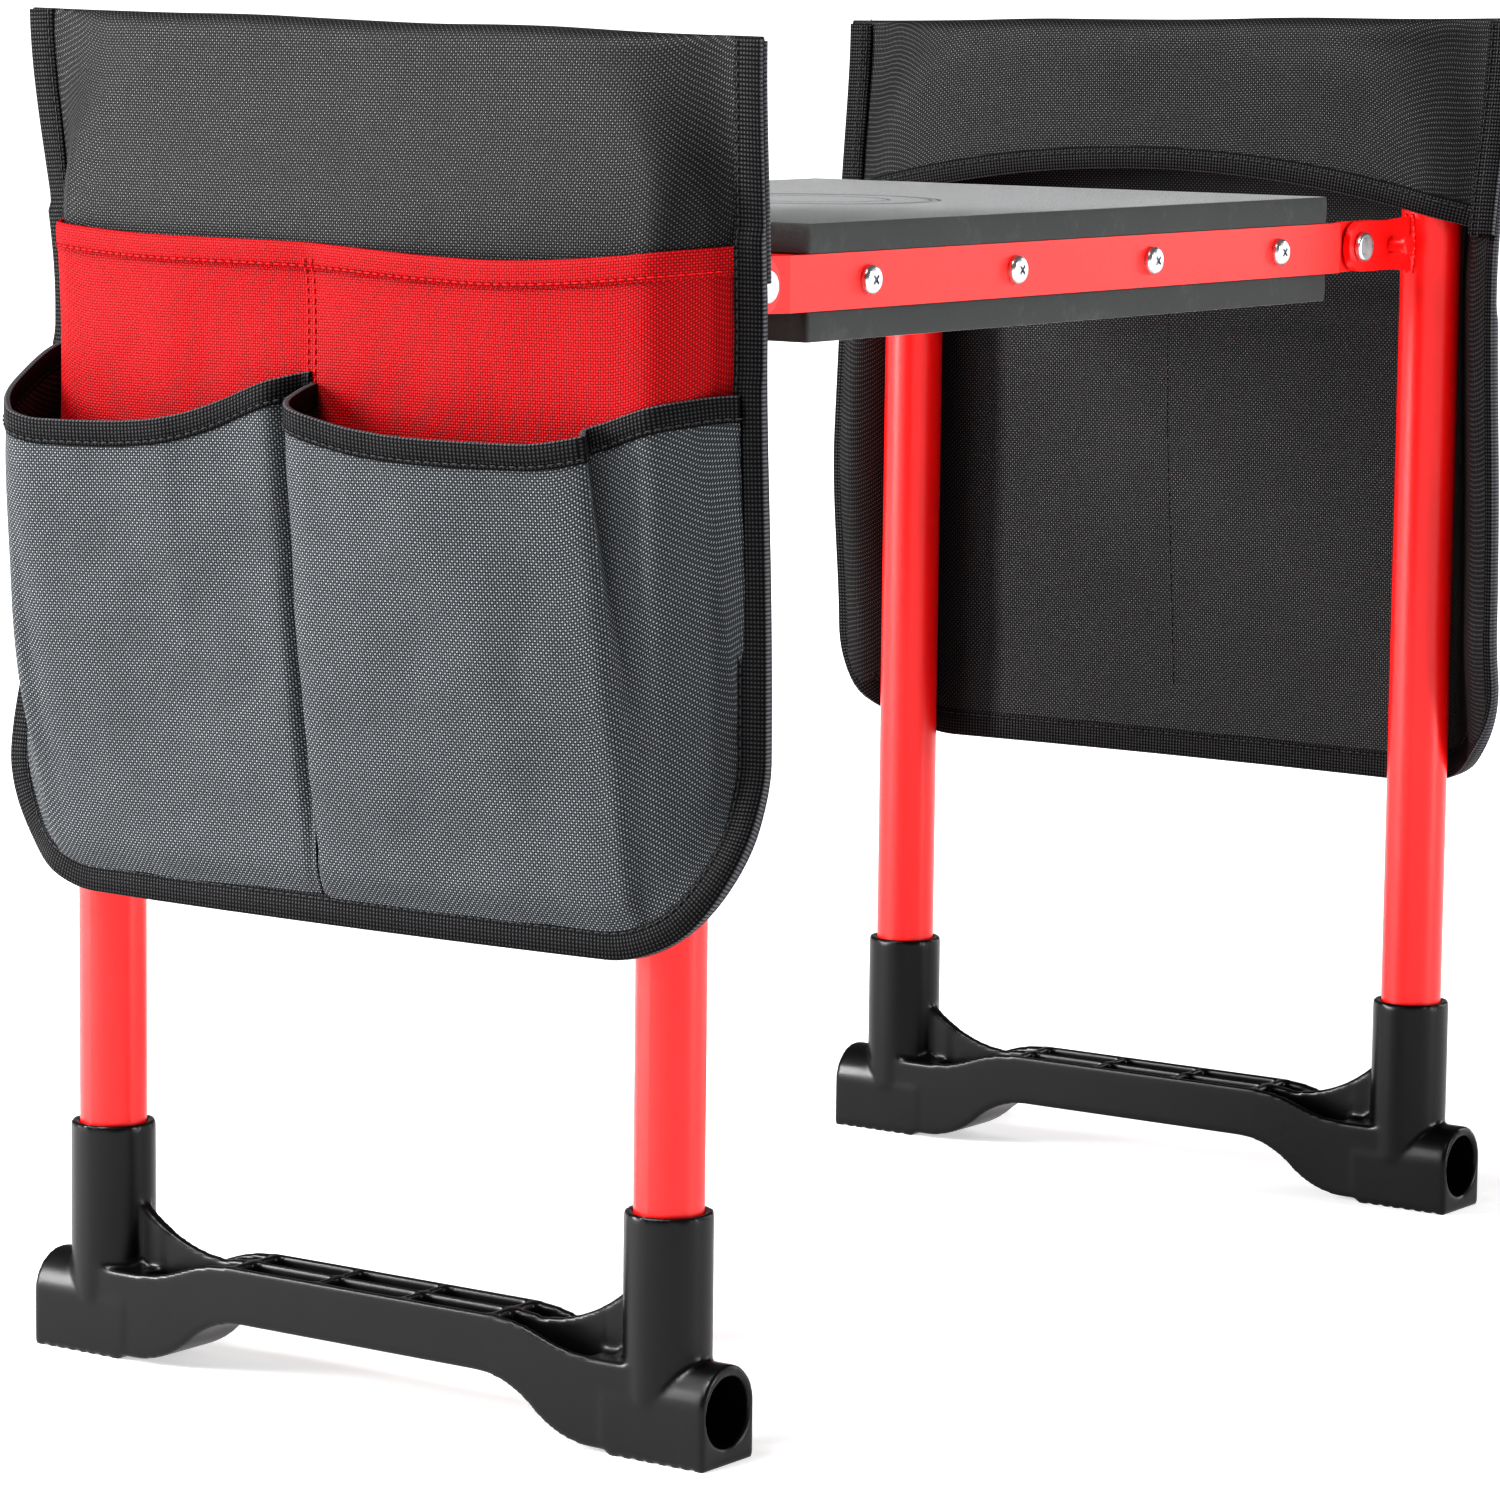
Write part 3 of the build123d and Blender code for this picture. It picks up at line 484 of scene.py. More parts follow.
def thread(name, colour):
    """Twisted sewing thread."""
    n = Nodes(name)
    twist = n.noise(1800.0, 1.0)
    tone = n.mix(twist, shade(colour, 0.6), shade(colour, 1.7))
    shine = n.remap(twist, 0.3, 0.7, 0.45, 0.7)
    return n.finish(tone, shine, n.bump(twist, 0.0001, 0.6), Specular_IOR_Level=0.3)


def pale_floor(name):
    """White paper that glows more with distance, so it meets the white background without a line."""
    n = Nodes(name)
    distance = n.node("ShaderNodeVectorMath", operation="LENGTH")
    n.tree.links.new(n.place(), distance.inputs[0])
    n.feed(n.shader.inputs["Emission Strength"], n.remap(distance.outputs["Value"], 0.6, 2.0, 0.4, 1.0))
    return n.finish((0.75, 0.75, 0.75, 1), 0.9, Emission_Color=(1, 1, 1, 1))


RED = (0.84, 0.008, 0.007)
BLACK = (0.005, 0.005, 0.0055)
CLOTH_PITCH = 1.0 * MM
tube_paint = powder_coat("tube_paint", RED, 0.36, 0.3)
rail_paint = powder_coat("rail_paint", (0.86, 0.022, 0.019), 0.45, 0.05)
zinc_plate = zinc("zinc_plate")
foot_plastic = moulded("foot_plastic", (0.004, 0.004, 0.0043), 0.32, 1400.0, 0.00004)
rubber = moulded("rubber", (0.016, 0.016, 0.016), 0.68, 900.0, 0.0001)
washer_plastic = moulded("washer_plastic", (0.02, 0.02, 0.02), 0.5, 1200.0, 0.00005)
core_plastic = moulded("core_plastic", (0.05, 0.05, 0.05), 0.6, 600.0, 0.0001)
foam_cut = moulded("foam_cut", (0.058, 0.061, 0.060), 0.82, 1100.0, 0.00012, pore=0.0011)
foam_top = foam_face("foam_top", (0.036, 0.039, 0.039), 1.9 * MM)
foam_under = foam_face("foam_under", (0.070, 0.074, 0.074), 1.9 * MM)
wire = moulded("spring_wire", (0.03, 0.03, 0.032), 0.38, 900.0, 0.00003)
wire.node_tree.nodes["Principled BSDF"].inputs["Metallic"].default_value = 0.7
# Each cloth's fourth and fifth values are the painted shade in its gaps and the painted glint colour on its
# yarns' tops.
black_cloth = woven("black_cloth", BLACK, CLOTH_PITCH, 0.2, (0.105, 0.105, 0.108, 1), 0.34, 0.3)
red_cloth = woven("red_cloth", (0.39, 0.004, 0.007), CLOTH_PITCH, 0.34, (0.68, 0.014, 0.024, 1), 0.5, 0.2)
grey_cloth = woven("grey_cloth", (0.046, 0.051, 0.057), CLOTH_PITCH, 0.1, (0.31, 0.325, 0.34, 1), 0.42, 0.35)
edge_tape = ribbed_tape("edge_tape", (0.0035, 0.0035, 0.0038), 1.5 * MM)
black_thread = thread("black_thread", (0.035, 0.035, 0.037))
red_thread = thread("red_thread", (0.55, 0.008, 0.01))

# ---- pieces that keep their CAD shape
node_finish = {
    "front_rail": rail_paint,
    "rear_rail": rail_paint,
    "front_rail_screws": zinc_plate,
    "rear_rail_screws": zinc_plate,
    "core_board": core_plastic,
}
for side_name in SIDES:
    node_finish[f"{side_name}_end_plate"] = rail_paint
    node_finish[f"{side_name}_pivot_rivets"] = zinc_plate
    node_finish[f"{side_name}_pivot_washers"] = washer_plastic
    node_finish[f"{side_name}_leg_tube"] = tube_paint
    node_finish[f"{side_name}_lock_rod"] = tube_paint
    for end in ENDS:
        node_finish[f"{side_name}_{end}_bracket"] = tube_paint
        node_finish[f"{side_name}_{end}_grip_block"] = rubber

for node_name, finish in node_finish.items():
    node = nodes[node_name]
    node.data.materials.clear()
    node.data.materials.append(finish)


# ---- foam pads
def rounded_outline(half_x, half_y, corner, per_side, per_corner):
    """Points round a rectangle with round corners, evenly spaced along each side."""
    points = []
    turns = ((1, 1, 0), (-1, 1, 1), (-1, -1, 2), (1, -1, 3))
    for sx, sy, quarter in turns:
        centre = (sx * (half_x - corner), sy * (half_y - corner))
        for k in range(per_corner + 1):
            a = (quarter + k / per_corner) * math.pi / 2
            points.append((centre[0] + corner * math.cos(a), centre[1] + corner * math.sin(a)))
        nx, ny = turns[(quarter + 1) % 4][:2]
        start = points[-1]
        a = (quarter + 1) * math.pi / 2
        stop = (nx * (half_x - corner) + corner * math.cos(a), ny * (half_y - corner) + corner * math.sin(a))
        for k in range(1, per_side):
            points.append(tuple(a + (b - a) * k / per_side for a, b in zip(start, stop)))
    return np.array(points)


RING_DEPTH = 0.55 * MM
RING_WIDTH = 1.6 * MM
RING_RADII = (50 * MM, 46.5 * MM, 30 * MM)


def foam_pad(name, node_name, up, face_material):
    """A foam pad: softly rounded cut edges and a pressed badge of plain rings on its outer face."""
    low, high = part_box(node_name)
    half_x, half_y = high.x, high.y
    thick = high.z - low.z
    base, face = (low.z, high.z) if up > 0 else (high.z, low.z)
    loops = []

    def ring(inset, height, soft=0.0):
        outline = rounded_outline(half_x - inset, half_y - inset, max(1.5 * MM - inset, 0.4 * MM), 44, 6)
        sway = np.array([soft * wave(x, y, 0.03, 5.0 + up) for x, y in outline])
        outline = outline + sway[:, None] * np.sign(outline)
        loops.append(np.column_stack([outline, np.full(len(outline), base + up * (height * thick))]))

    ring(0.6 * MM, 0.0)
    ring(0.2 * MM, 0.015)
    ring(0.0, 0.06, 0.1 * MM)
    for share in (0.3, 0.5, 0.7):
        ring(-0.25 * MM * math.sin(math.pi * share), share, 0.2 * MM)
    ring(0.0, 0.94, 0.1 * MM)
    ring(0.2 * MM, 0.985)
    ring(0.7 * MM, 1.0)
    ring(4 * MM, 1.0)
    outer = loops[-1]
    edge_loops = len(loops)
    angles = np.arctan2(outer[:, 1], outer[:, 0])

    def circle(radius, drop):
        height = np.full(len(angles), face - up * drop)
        return np.stack([radius * np.cos(angles), radius * np.sin(angles), height], axis=1)

    inner = circle(RING_RADII[0] + RING_WIDTH, 0.0)
    for share in np.linspace(0, 1, 13)[1:-1]:
        loops.append(outer * (1 - share) + inner * share)
    profile = ((0.9, 0.0), (0.62, 0.0), (0.5, 0.06), (0.36, 0.6), (0.2, 0.95), (0.0, 1.0))
    profile += tuple((-step, drop) for step, drop in profile[-2::-1])
    for radius in RING_RADII:
        for step, drop in profile:
            loops.append(circle(radius + step * RING_WIDTH, drop * RING_DEPTH))
    loops += [circle(radius, 0.0) for radius in (24 * MM, 16 * MM, 8 * MM, 2 * MM)]
    count = len(outer)
    verts = np.vstack(loops)
    faces = []
    for i in range(len(loops) - 1):
        for j in range(count):
            k = (j + 1) % count
            quad = (i * count + j, i * count + k, (i + 1) * count + k, (i + 1) * count + j)
            faces.append(quad if up > 0 else quad[::-1])
    last = (len(loops) - 1) * count
    faces.append(tuple(last + j for j in range(count))[::up])
    faces.append(tuple(range(count))[::-up])
    pad = new_object(name, verts, faces, foam_cut)
    pad.data.materials.append(face_material)
    for polygon in pad.data.polygons:
        if min(polygon.vertices) >= (edge_loops - 3) * count:
            polygon.material_index = 1
    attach(pad, "seat")
    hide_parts(node_name)
    return pad


foam_pad("seat_pad_upper", "top_pad", 1, foam_top)
foam_pad("seat_pad_lower", "bottom_pad", -1, foam_under)


# ---- foot beams
def foot_beam(side_name):
    """The moulded beam: the CAD shape with the small rounds that a mould leaves on every edge."""
    node = nodes[f"{side_name}_foot_beam"]
    beam = placed(f"{side_name}_moulded_foot", node.data.copy())
    beam.data.materials.clear()
    beam.data.materials.append(foot_plastic)
    remesh = beam.modifiers.new("skin", "REMESH")
    remesh.mode = "VOXEL"
    remesh.voxel_size = 1.1 * MM
    remesh.use_smooth_shade = True
    soften = beam.modifiers.new("soften", "SMOOTH")
    soften.factor = 0.5
    soften.iterations = 5
    bpy.context.view_layer.update()
    graph = bpy.context.evaluated_depsgraph_get()
    mesh = bpy.data.meshes.new_from_object(beam.evaluated_get(graph))
    beam.modifiers.clear()
    beam.data = mesh
    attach(beam, f"{side_name}_leg")
    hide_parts(f"{side_name}_foot_beam")


# ---- lock springs
def lock_spring(side_name, end):
    """A wound spring where the CAD has a sleeve: hook on the tab, close coil, long loop round the rod."""
    node_name = f"{side_name}_{end}_lock_spring"
    low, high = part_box(node_name)
    k = SIDES[side_name]
    wire_radius = 0.8 * MM
    coil_radius = 4.0 * MM
    y = (low.y + high.y) / 2
    rod_low, rod_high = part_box(f"{side_name}_lock_rod")
    rod = np.array([(rod_low.x + rod_high.x) / 2, y, (rod_low.z + rod_high.z) / 2])
    anchor = rod + np.array([-k * 35 * MM, 0, 10 * MM])
    along = unit(rod - anchor)
    up = np.array([0.0, 1.0, 0.0])
    across = np.cross(along, up)
    reach = float(np.linalg.norm(rod - anchor))
    loop_start, loop_end = reach - 3.8 * MM, 48 * MM
    points = []

    def put(a, b, c):
        points.append(anchor + along * a + up * b + across * c)

    hook = 3.2 * MM
    for i in range(11):
        a = math.radians(240 - i * 20)
        put(1.2 * MM + hook * math.cos(a) * 0.9, 0, hook * math.sin(a))
    turns, steps = 14, 14
    coil_start, coil_end = 7.5 * MM, loop_start
    for i in range(turns * steps + 1):
        a = 2 * math.pi * i / steps
        along_coil = coil_start + (coil_end - coil_start) * i / (turns * steps)
        put(along_coil, coil_radius * math.sin(a), -coil_radius * math.cos(a))
    half = 4.6 * MM
    loop_side = ((0.0, 0.4), (0.06, 0.85), (0.2, 1.0), (0.55, 1.0), (0.85, 1.0))
    straight = (loop_end - loop_start) * 0.9
    for share, aside in loop_side:
        put(loop_start + share * straight, aside * half, 0)
    for i in range(1, 8):
        a = math.pi / 2 - math.pi * i / 8
        put(loop_end - half + half * math.cos(a), half * math.sin(a), 0)
    for share, aside in loop_side[:0:-1]:
        put(loop_start + share * straight, -aside * half, 0)
    curve = bpy.data.curves.new(f"{side_name}_{end}_spring_line", "CURVE")
    curve.dimensions = "3D"
    line = curve.splines.new("POLY")
    line.points.add(len(points) - 1)
    for target, place in zip(line.points, points):
        target.co = (*place, 1.0)
    curve.bevel_depth = wire_radius
    curve.bevel_resolution = 2
    curve.use_fill_caps = True
    holder = bpy.data.objects.new(curve.name, curve)
    mesh = bpy.data.meshes.new_from_object(holder)
    bpy.data.objects.remove(holder)
    mesh.materials.clear()
    mesh.materials.append(wire)
    mesh.shade_smooth()
    spring = placed(f"{side_name}_{end}_wound_spring", mesh)
    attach(spring, f"{side_name}_springs")
    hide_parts(node_name)


# ---- weld beads
def weld_beads(side_name):
    """The welds that join both ears to the tubes: an uneven bead down each side of the ear's end."""
    k = SIDES[side_name]
    verts, faces = [], []
    sides = 8
    x_axis, y_axis = np.eye(3)[:2]
    steps = 26
    for end in ENDS:
        low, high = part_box(f"{side_name}_{end}_bracket")
        for face_y, tilt in ((low.y, -1), (high.y, 1)):
            offset = abs(face_y) - LEG_Y
            reach = math.sqrt(max(TUBE_RADIUS**2 - offset**2, 0.0))
            faces += tube_faces(len(verts), steps + 1, sides)
            for i in range(steps + 1):
                z = low.z - 1 * MM + (high.z - low.z + 2 * MM) * i / steps
                size = (1.7 + 0.35 * math.sin(i * 1.9) + 0.2 * wave(i, face_y, 2.0, 1.0)) * MM
                size *= 0.35 + 0.65 * min(1.0, 4 * min(i, steps - i) / steps)
                middle = np.array([k * (LEG_X - reach - 0.3 * MM), face_y + tilt * 0.2 * MM, z])
                verts += ring_points(middle, size, x_axis, y_axis, sides)
    beads = new_object(f"{side_name}_ear_welds", verts, faces, tube_paint)
    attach(beads, f"{side_name}_leg")


# ---- tool bags
def bottom_edge(y, inset=0.0):
    """Height of the bag's lower edge at y, with its round corners."""
    half, corner = BAG_HALF - inset, CORNER - inset
    beyond = min(max(abs(y) - (half - corner), 0.0), corner)
    return BAG_BOTTOM + inset + corner - math.sqrt(max(corner**2 - beyond**2, 0.0))


def half_width(z):
    """Half the bag's width: drawn in where it curls round the tubes beside the seat."""
    return BAG_HALF + FLARE - WAIST * hump(z - FLAP_SIDE_Z + 20 * MM, 80 * MM)


def column_places(inset, middle, corner_steps):
    """Places across the bag from -1 side to the other, closer together round the corners."""
    half, corner = BAG_HALF - inset, CORNER - inset
    flat_half = half - corner
    turn = [flat_half + corner * math.sin(math.pi / 2 * k / corner_steps) for k in range(1, corner_steps + 1)]
    flat = list(np.linspace(-flat_half, flat_half, middle + 1))
    return np.array([-v for v in reversed(turn)] + flat + turn)


def clear_of_tube(y, z):
    """How far (y, z) lies outside the U of the leg tube."""
    side, rise = abs(y) - (LEG_Y - BEND), z - (tube_high.z - TUBE_RADIUS - BEND)
    if side > 0 and rise > 0:
        return math.hypot(side, rise) - BEND - TUBE_RADIUS
    return abs(y) - LEG_Y - TUBE_RADIUS if rise <= 0 else z - tube_high.z


TUBE_WRAP = 8.7 * MM
PLEAT = 4.5 * MM


def seam_u(y, z, k):
    """Where the bag's sewn side lies in or out: drawn in round the tube, and swinging free below."""
    deep, free_below, fall = (12 * MM, 0.315, 0.095) if y > 0 else (9 * MM, 0.25, 0.06)
    return 2 * MM - deep * smooth((BAG_TOP - z) / 0.11) + SWINGS[k] * smooth((free_below - z) / fall)


def curl(y, z):
    """How far along the curl from the tube (0) to the sewn side (1) the cloth is."""
    outside = max(clear_of_tube(y, min(z, tube_high.z - 1 * MM)) + TUBE_WRAP, 0.0)
    to_seam = max(half_width(z) - abs(y) * half_width(z) / BAG_HALF, 0.0)
    return smooth(1.3 * outside / (outside + to_seam + 1e-9)) if outside else 0.0


def panel_u(y, z, k):
    """How far outboard of the leg's middle the outer panel lies."""
    share = curl(y, z)
    seed = SEEDS[k]
    free = smooth((z - BAG_BOTTOM) / 0.05)
    ripple = (wave(y, z, 0.07, seed) * 1.2 + wave(y, z * 0.6, 0.03, seed + 4) * 0.35) * MM
    across = math.cos(math.pi / 2 * min(1, abs(y) / BAG_HALF)) ** 0.6
    over_red = 3.0 * hump(z - RED_TOP - 8 * MM, 24 * MM)
    below_fold = 9.5 * smooth((BAG_TOP - 7 * MM - z) / (78 * MM))
    belly = (over_red + below_fold) * MM * across
    flat_part = PANEL_U + max(ripple * free, -0.3 * MM) + belly
    return flat_part * (1 - share) + (seam_u(y, z, k) + 0.75 * MM) * share


def flap_edge(y):
    """Height of the inner flap's lower edge: an arc, high in the middle."""
    rise = FLAP_MIDDLE_Z - FLAP_SIDE_Z
    radius = (BAG_HALF**2 + rise**2) / (2 * rise)
    return FLAP_MIDDLE_Z - radius + math.sqrt(radius**2 - y**2)


def top_line(y, k):
    """Height of the fold over the crossbar, a little higher over the grip blocks and at one end."""
    block = hump(abs(y) - 64 * MM, 30 * MM)
    uneven = 0.25 * wave(y, 0.0, 0.05, SEEDS[k])
    return BAG_TOP - 2.6 * MM + (0.7 * block + uneven - 2.8 * k * y / BAG_HALF) * MM


def flap_u(y, z, k):
    """How far inboard of the leg's middle the inner flap lies, as a negative number."""
    share = curl(y, z)
    seed = SEEDS[k]
    ripple = (wave(y, z, 0.06, seed + 9) * 1.3 + wave(y * 0.5, z, 0.028, seed + 13) * 0.5) * MM
    return -(PANEL_U + max(ripple, -0.2 * MM)) * (1 - share) + (seam_u(y, z, k) - 0.75 * MM) * share


def both_faces(seam, out, outer, inner):
    """A seam's two lines of stitches: one that far out from it, and one that far in."""
    return [(seam + out * outer, out), (seam - out * inner, -out)]


def bag(side_name):
    """One tool bag, sewn from a folded outer panel, a red pocket, two grey pockets and bound edges."""
    k = SIDES[side_name]
    seed = SEEDS[k]
    flip = k < 0

    def spot(u, y, z):
        return (k * (LEG_X + u), y, z)

    def drawn(u, y, z):
        """A spot whose y is drawn in as far as the bag's sides are at that height."""
        return spot(u, y * half_width(z) / BAG_HALF, z)

    def facing(line, way=1):
        """A line of spots, and at each the direction away from the seat, or towards it if way is -1."""
        return np.array(line), np.tile([float(way * k), 0.0, 0.0], (len(line), 1))

    # The panel goes up the outside, over the crossbar and down inside as the flap.
    places = column_places(0.0, 72, 16)
    outer_rows, fold_rows, inner_rows = 110, 14, 30

    def up_panel(i, y):
        low = bottom_edge(y)
        z = low + (top_line(y, k) - FOLD_DEPTH - low) * i / outer_rows
        return drawn(panel_u(y, z, k), y, z)

    def over_fold(i, y):
        a = math.pi * i / fold_rows
        start = top_line(y, k) - FOLD_DEPTH
        outer, inner = panel_u(y, start, k), flap_u(y, start, k)
        bow = abs(math.cos(a)) ** 0.55 * (1 if math.cos(a) > 0 else -1)
        z = start + FOLD_DEPTH * abs(math.sin(a)) ** 0.6
        return drawn((outer + inner) / 2 + (outer - inner) / 2 * bow, y, z)

    def down_flap(i, y):
        start = top_line(y, k) - FOLD_DEPTH
        z = start + (flap_edge(y) - start) * i / inner_rows
        return drawn(flap_u(y, z, k), y, z)

    points = np.vstack([
        grid_of(up_panel, range(outer_rows), places),
        grid_of(over_fold, range(fold_rows + 1), places),
        grid_of(down_flap, range(1, inner_rows + 1), places),
    ])
    shell, sheet_length = cloth_sheet(f"{side_name}_bag_shell", points, black_cloth, not flip)

    def divider(z):
        """Where the seam between the two pockets runs: a little to the rear, and less so at the bottom."""
        return DIVIDER_Y * (0.4 + 0.6 * smooth((z - BAG_BOTTOM) / (POCKET_TOP - BAG_BOTTOM)))

    # Red pocket: sewn down the sides, bottom and middle, and bowed between.
    half = BAG_HALF - SEAM_LAP
    red_places = column_places(SEAM_LAP, 64, 12)
    red_rows = 90

    def red_u(y, z):
        side = half - DIVIDER_Y if y > DIVIDER_Y else half + DIVIDER_Y
        lobe = abs(y - DIVIDER_Y) / side
        lobe = max(math.sin(math.pi * lobe), 0.0) ** 0.8
        height = smooth((z - BAG_BOTTOM - 20 * MM) / (RED_TOP - BAG_BOTTOM - 20 * MM))
        ripple = (wave(y, z, 0.05, seed + 21) * 0.9 + wave(y, z, 0.022, seed + 25) * 0.3) * MM
        return panel_u(y, z, k) + CLOTH * 1.15 + (4.2 * MM * lobe * height**1.5) + abs(ripple) * (0.3 + lobe)

    def red_top(y):
        sides = (abs(y) / BAG_HALF) ** 4
        dip = hump(y + 75 * MM, 60 * MM)
        return RED_TOP + (5.5 * sides - 1.5 - 3.5 * dip + 0.4 * wave(y, 0, 0.06, seed)) * MM

    def up_red(i, y):
        low = bottom_edge(y, SEAM_LAP)
        z = low + (red_top(y) - low) * i / red_rows
        return drawn(red_u(y, z), y, z)

    points = grid_of(up_red, range(red_rows + 1), red_places)
    red = cloth_sheet(f"{side_name}_red_pocket", points, red_cloth, not flip)[0]

    # Its hem goes up the outside and over the top edge: (stands out, above the edge), in millimetres.
    hem_fold = (
        (1.05, -9.0), (1.05, -6.0), (1.1, -3.0), (1.05, -1.0), (0.75, 0.1),
        (0.1, 0.5), (-0.55, 0.1), (-0.8, -1.0), (-0.85, -4.0),
    )

    def round_hem(fold, y):
        stand, rise = fold
        z = red_top(y) + rise * MM
        return drawn(red_u(y, min(z, red_top(y))) + stand * MM, y, z)

    points = grid_of(round_hem, hem_fold, red_places)
    hem, hem_length = cloth_sheet(f"{side_name}_red_hem", points, red_cloth, not flip, HEM_CLOTH)
    hem_seam = []
    for y in np.linspace(-0.152, 0.152, 60):
        z = red_top(y) - HEM_DEPTH + HEM_STITCH
        hem_seam.append(drawn(red_u(y, z) + 1.75 * MM, y, z))
    red_lines = [facing(hem_seam)]
    for aside in (-TWIN_STITCH, TWIN_STITCH):
        middle_seam = []
        for z in np.linspace(BAG_BOTTOM + 20 * MM, RED_TOP - 5 * MM, 60):
            y = divider(z) + aside
            under_hem = CLOTH * smooth((z - red_top(y) + HEM_DEPTH) / (1 * MM))
            middle_seam.append(spot(red_u(y, z) + 0.75 * MM + under_hem, y, z))
        red_lines.append(facing(middle_seam))
    red_stitches = stitches(f"{side_name}_red_stitching", red_lines, red_thread)

    # Grey pockets: each a front with a gusset folded down its outer side and a pleat in the middle.
    # A mouth's folds, from the middle seam to the side seam: (share of the half width, share of the depth).
    mouth_folds = {
        "front": ((0.0, 0.15), (0.05, 1.0), (0.4, 0.95), (0.76, 0.5), (0.73, 0.35), (1.0, -0.35)),
        "rear": ((0.0, 0.15), (0.06, 0.5), (0.9, 1.0), (1.0, -0.5)),
    }
    mouth_bends = {"front": (12 * MM, 40 * MM, 2 * MM, 3 * MM), "rear": (8 * MM, 24 * MM)}
    sewn_u = red_low.x - LEG_X

    def mouth_height(share, dip):
        """The hem dips between its two seams and climbs to the middle seam and, more, to the side seam."""
        to_middle = 2.8 * hump(share, 0.23)
        to_side = 3.2 * smooth((share - 0.6) / 0.4)
        return POCKET_TOP + dip * (to_middle + to_side - 1)

    mouth_dips = {"front": 5.5 * MM, "rear": 7.5 * MM}
    # Where along the mouth the gusset starts, and where places along the mouth have their foot.
    gusset_starts = {"front": 0.715, "rear": 0.76}
    foot_shares = {
        "front": ((0, 0.17, 0.70, 1), (0, 0.02, 0.72, 1)),
        "rear": ((0, 0.10, 0.76, 1), (0, 0.03, 0.74, 1)),
    }
    gap = 0.5 * MM
    columns, pocket_rows = 96, 80

    def base_u(y, z):
        return red_u(y, z) + CLOTH * 1.1

    def grey_pocket(end, sy):
        """A grey pocket with its trim: (cloth, width along its mouth, height, binding, stitches)."""
        depth = POCKET_DEPTH + RED_DEPTH
        corners = [(across * half, sewn_u + out * depth) for across, out in mouth_folds[end]]
        outline = rounded_path(np.array(corners), mouth_bends[end])
        along = line_lengths(outline)
        at = np.linspace(0, along[-1], columns + 1)
        shares = at / along[-1]
        heights = [mouth_height(share, mouth_dips[end]) for share in shares]
        mouth = zip(np.interp(at, along, outline[:, 0]), np.interp(at, along, outline[:, 1]), heights)
        # The foot of each column, along the bottom seam and up round the corner.
        turn = CORNER - SEAM_LAP
        bottom_run = half - turn - gap
        whole_run = bottom_run + turn * math.pi / 2
        feet = []
        for share in shares:
            reach = np.interp(share, *foot_shares[end]) * whole_run
            a = max(reach - bottom_run, 0.0) / turn
            y = gap + reach if a == 0 else half - turn + turn * math.sin(a)
            feet.append((y, BAG_BOTTOM + SEAM_LAP + turn - turn * math.cos(a)))

        def up_pocket(i, column):
            share, (foot_y, foot_z), (mouth_y, mouth_u, mouth_z) = column
            v = i / pocket_rows
            y = foot_y + (mouth_y - foot_y) * (0.6 * v + 0.4 * smooth(v))
            z = foot_z + (mouth_z - foot_z) * v
            y += sy * divider(z) * max(1 - y / half, 0.0)
            stand = max(mouth_u - base_u(sy * mouth_y, mouth_z), 0.0)
            lean = stand * (v + 0.15 * math.sin(math.pi * v))
            lean += PLEAT * (1 - v) * smooth(v * 12) * smooth((gusset_starts[end] - share) / 0.012)
            ripple = wave(sy * y, z, 0.05, seed + 31) * 1.4 + wave(sy * y, z, 0.022, seed + 37) * 0.45
            lean += ripple * MM * min(1.0, lean / (10 * MM)) * smooth(v * 4)
            return drawn(base_u(sy * y, z) + lean, sy * y, z)

        points = grid_of(up_pocket, range(pocket_rows + 1), list(zip(shares, feet, mouth)))
        turned = not flip if sy > 0 else flip
        pocket, height = cloth_sheet(f"{side_name}_{end}_grey_pocket", points, grey_cloth, turned)
        edge = points[-1]
        down = units(points[-6] - edge)
        out = units(np.cross(np.gradient(edge, axis=0), down))
        if out[columns // 2][0] * k < 0:
            out = -out
        trim = tape(
            f"{side_name}_{end}_pocket_binding", edge - down * 0.6 * MM, down, out,
            MOUTH_TAPE, 1.25 * MM, 1.25 * MM, edge_tape, flip,
        )
        lines = both_faces(edge + down * (MOUTH_TAPE - 2.2 * MM), out, 1.35 * MM, 1.35 * MM)
        sewn = stitches(f"{side_name}_{end}_pocket_stitching", lines, black_thread)
        return pocket, along[-1], height, trim, sewn

    grey_sheets = [grey_pocket(end, sy) for end, sy in ENDS.items()]

    # Side and bottom binding, round the outline from the top of one side to the top of the other.
    def side_outline(sy):
        heights = np.linspace(top_line(sy * BAG_HALF, k), BAG_BOTTOM + CORNER, 90)
        points = [(sy * half_width(z), z) for z in heights]
        for a in np.linspace(0, math.pi / 2, 22)[1:]:
            z = BAG_BOTTOM + CORNER - CORNER * math.sin(a)
            points.append((sy * (BAG_HALF - CORNER + CORNER * math.cos(a)) * half_width(z) / BAG_HALF, z))
        return points + [(y, BAG_BOTTOM) for y in np.linspace(points[-1][0], 0, 30)[1:]]

    outline = np.array(side_outline(-1) + side_outline(1)[-2::-1])
    heading = np.gradient(outline, axis=0)
    into = units(np.stack([-heading[:, 1], heading[:, 0]], axis=1))
    if into[0][0] < 0:
        into = -into

    def on_panel(places):
        """Spots on the outer panel at places (y, z) whose y is drawn in already."""
        return np.array([spot(panel_u(y * BAG_HALF / half_width(z), z, k), y, z) for y, z in places])

    edge = on_panel(outline)
    inward = units(on_panel(outline + into * TAPE_WIDTH) - edge)
    outward = units(np.cross(np.gradient(edge, axis=0), inward))
    outward *= np.sign(outward[:, :1] * k)

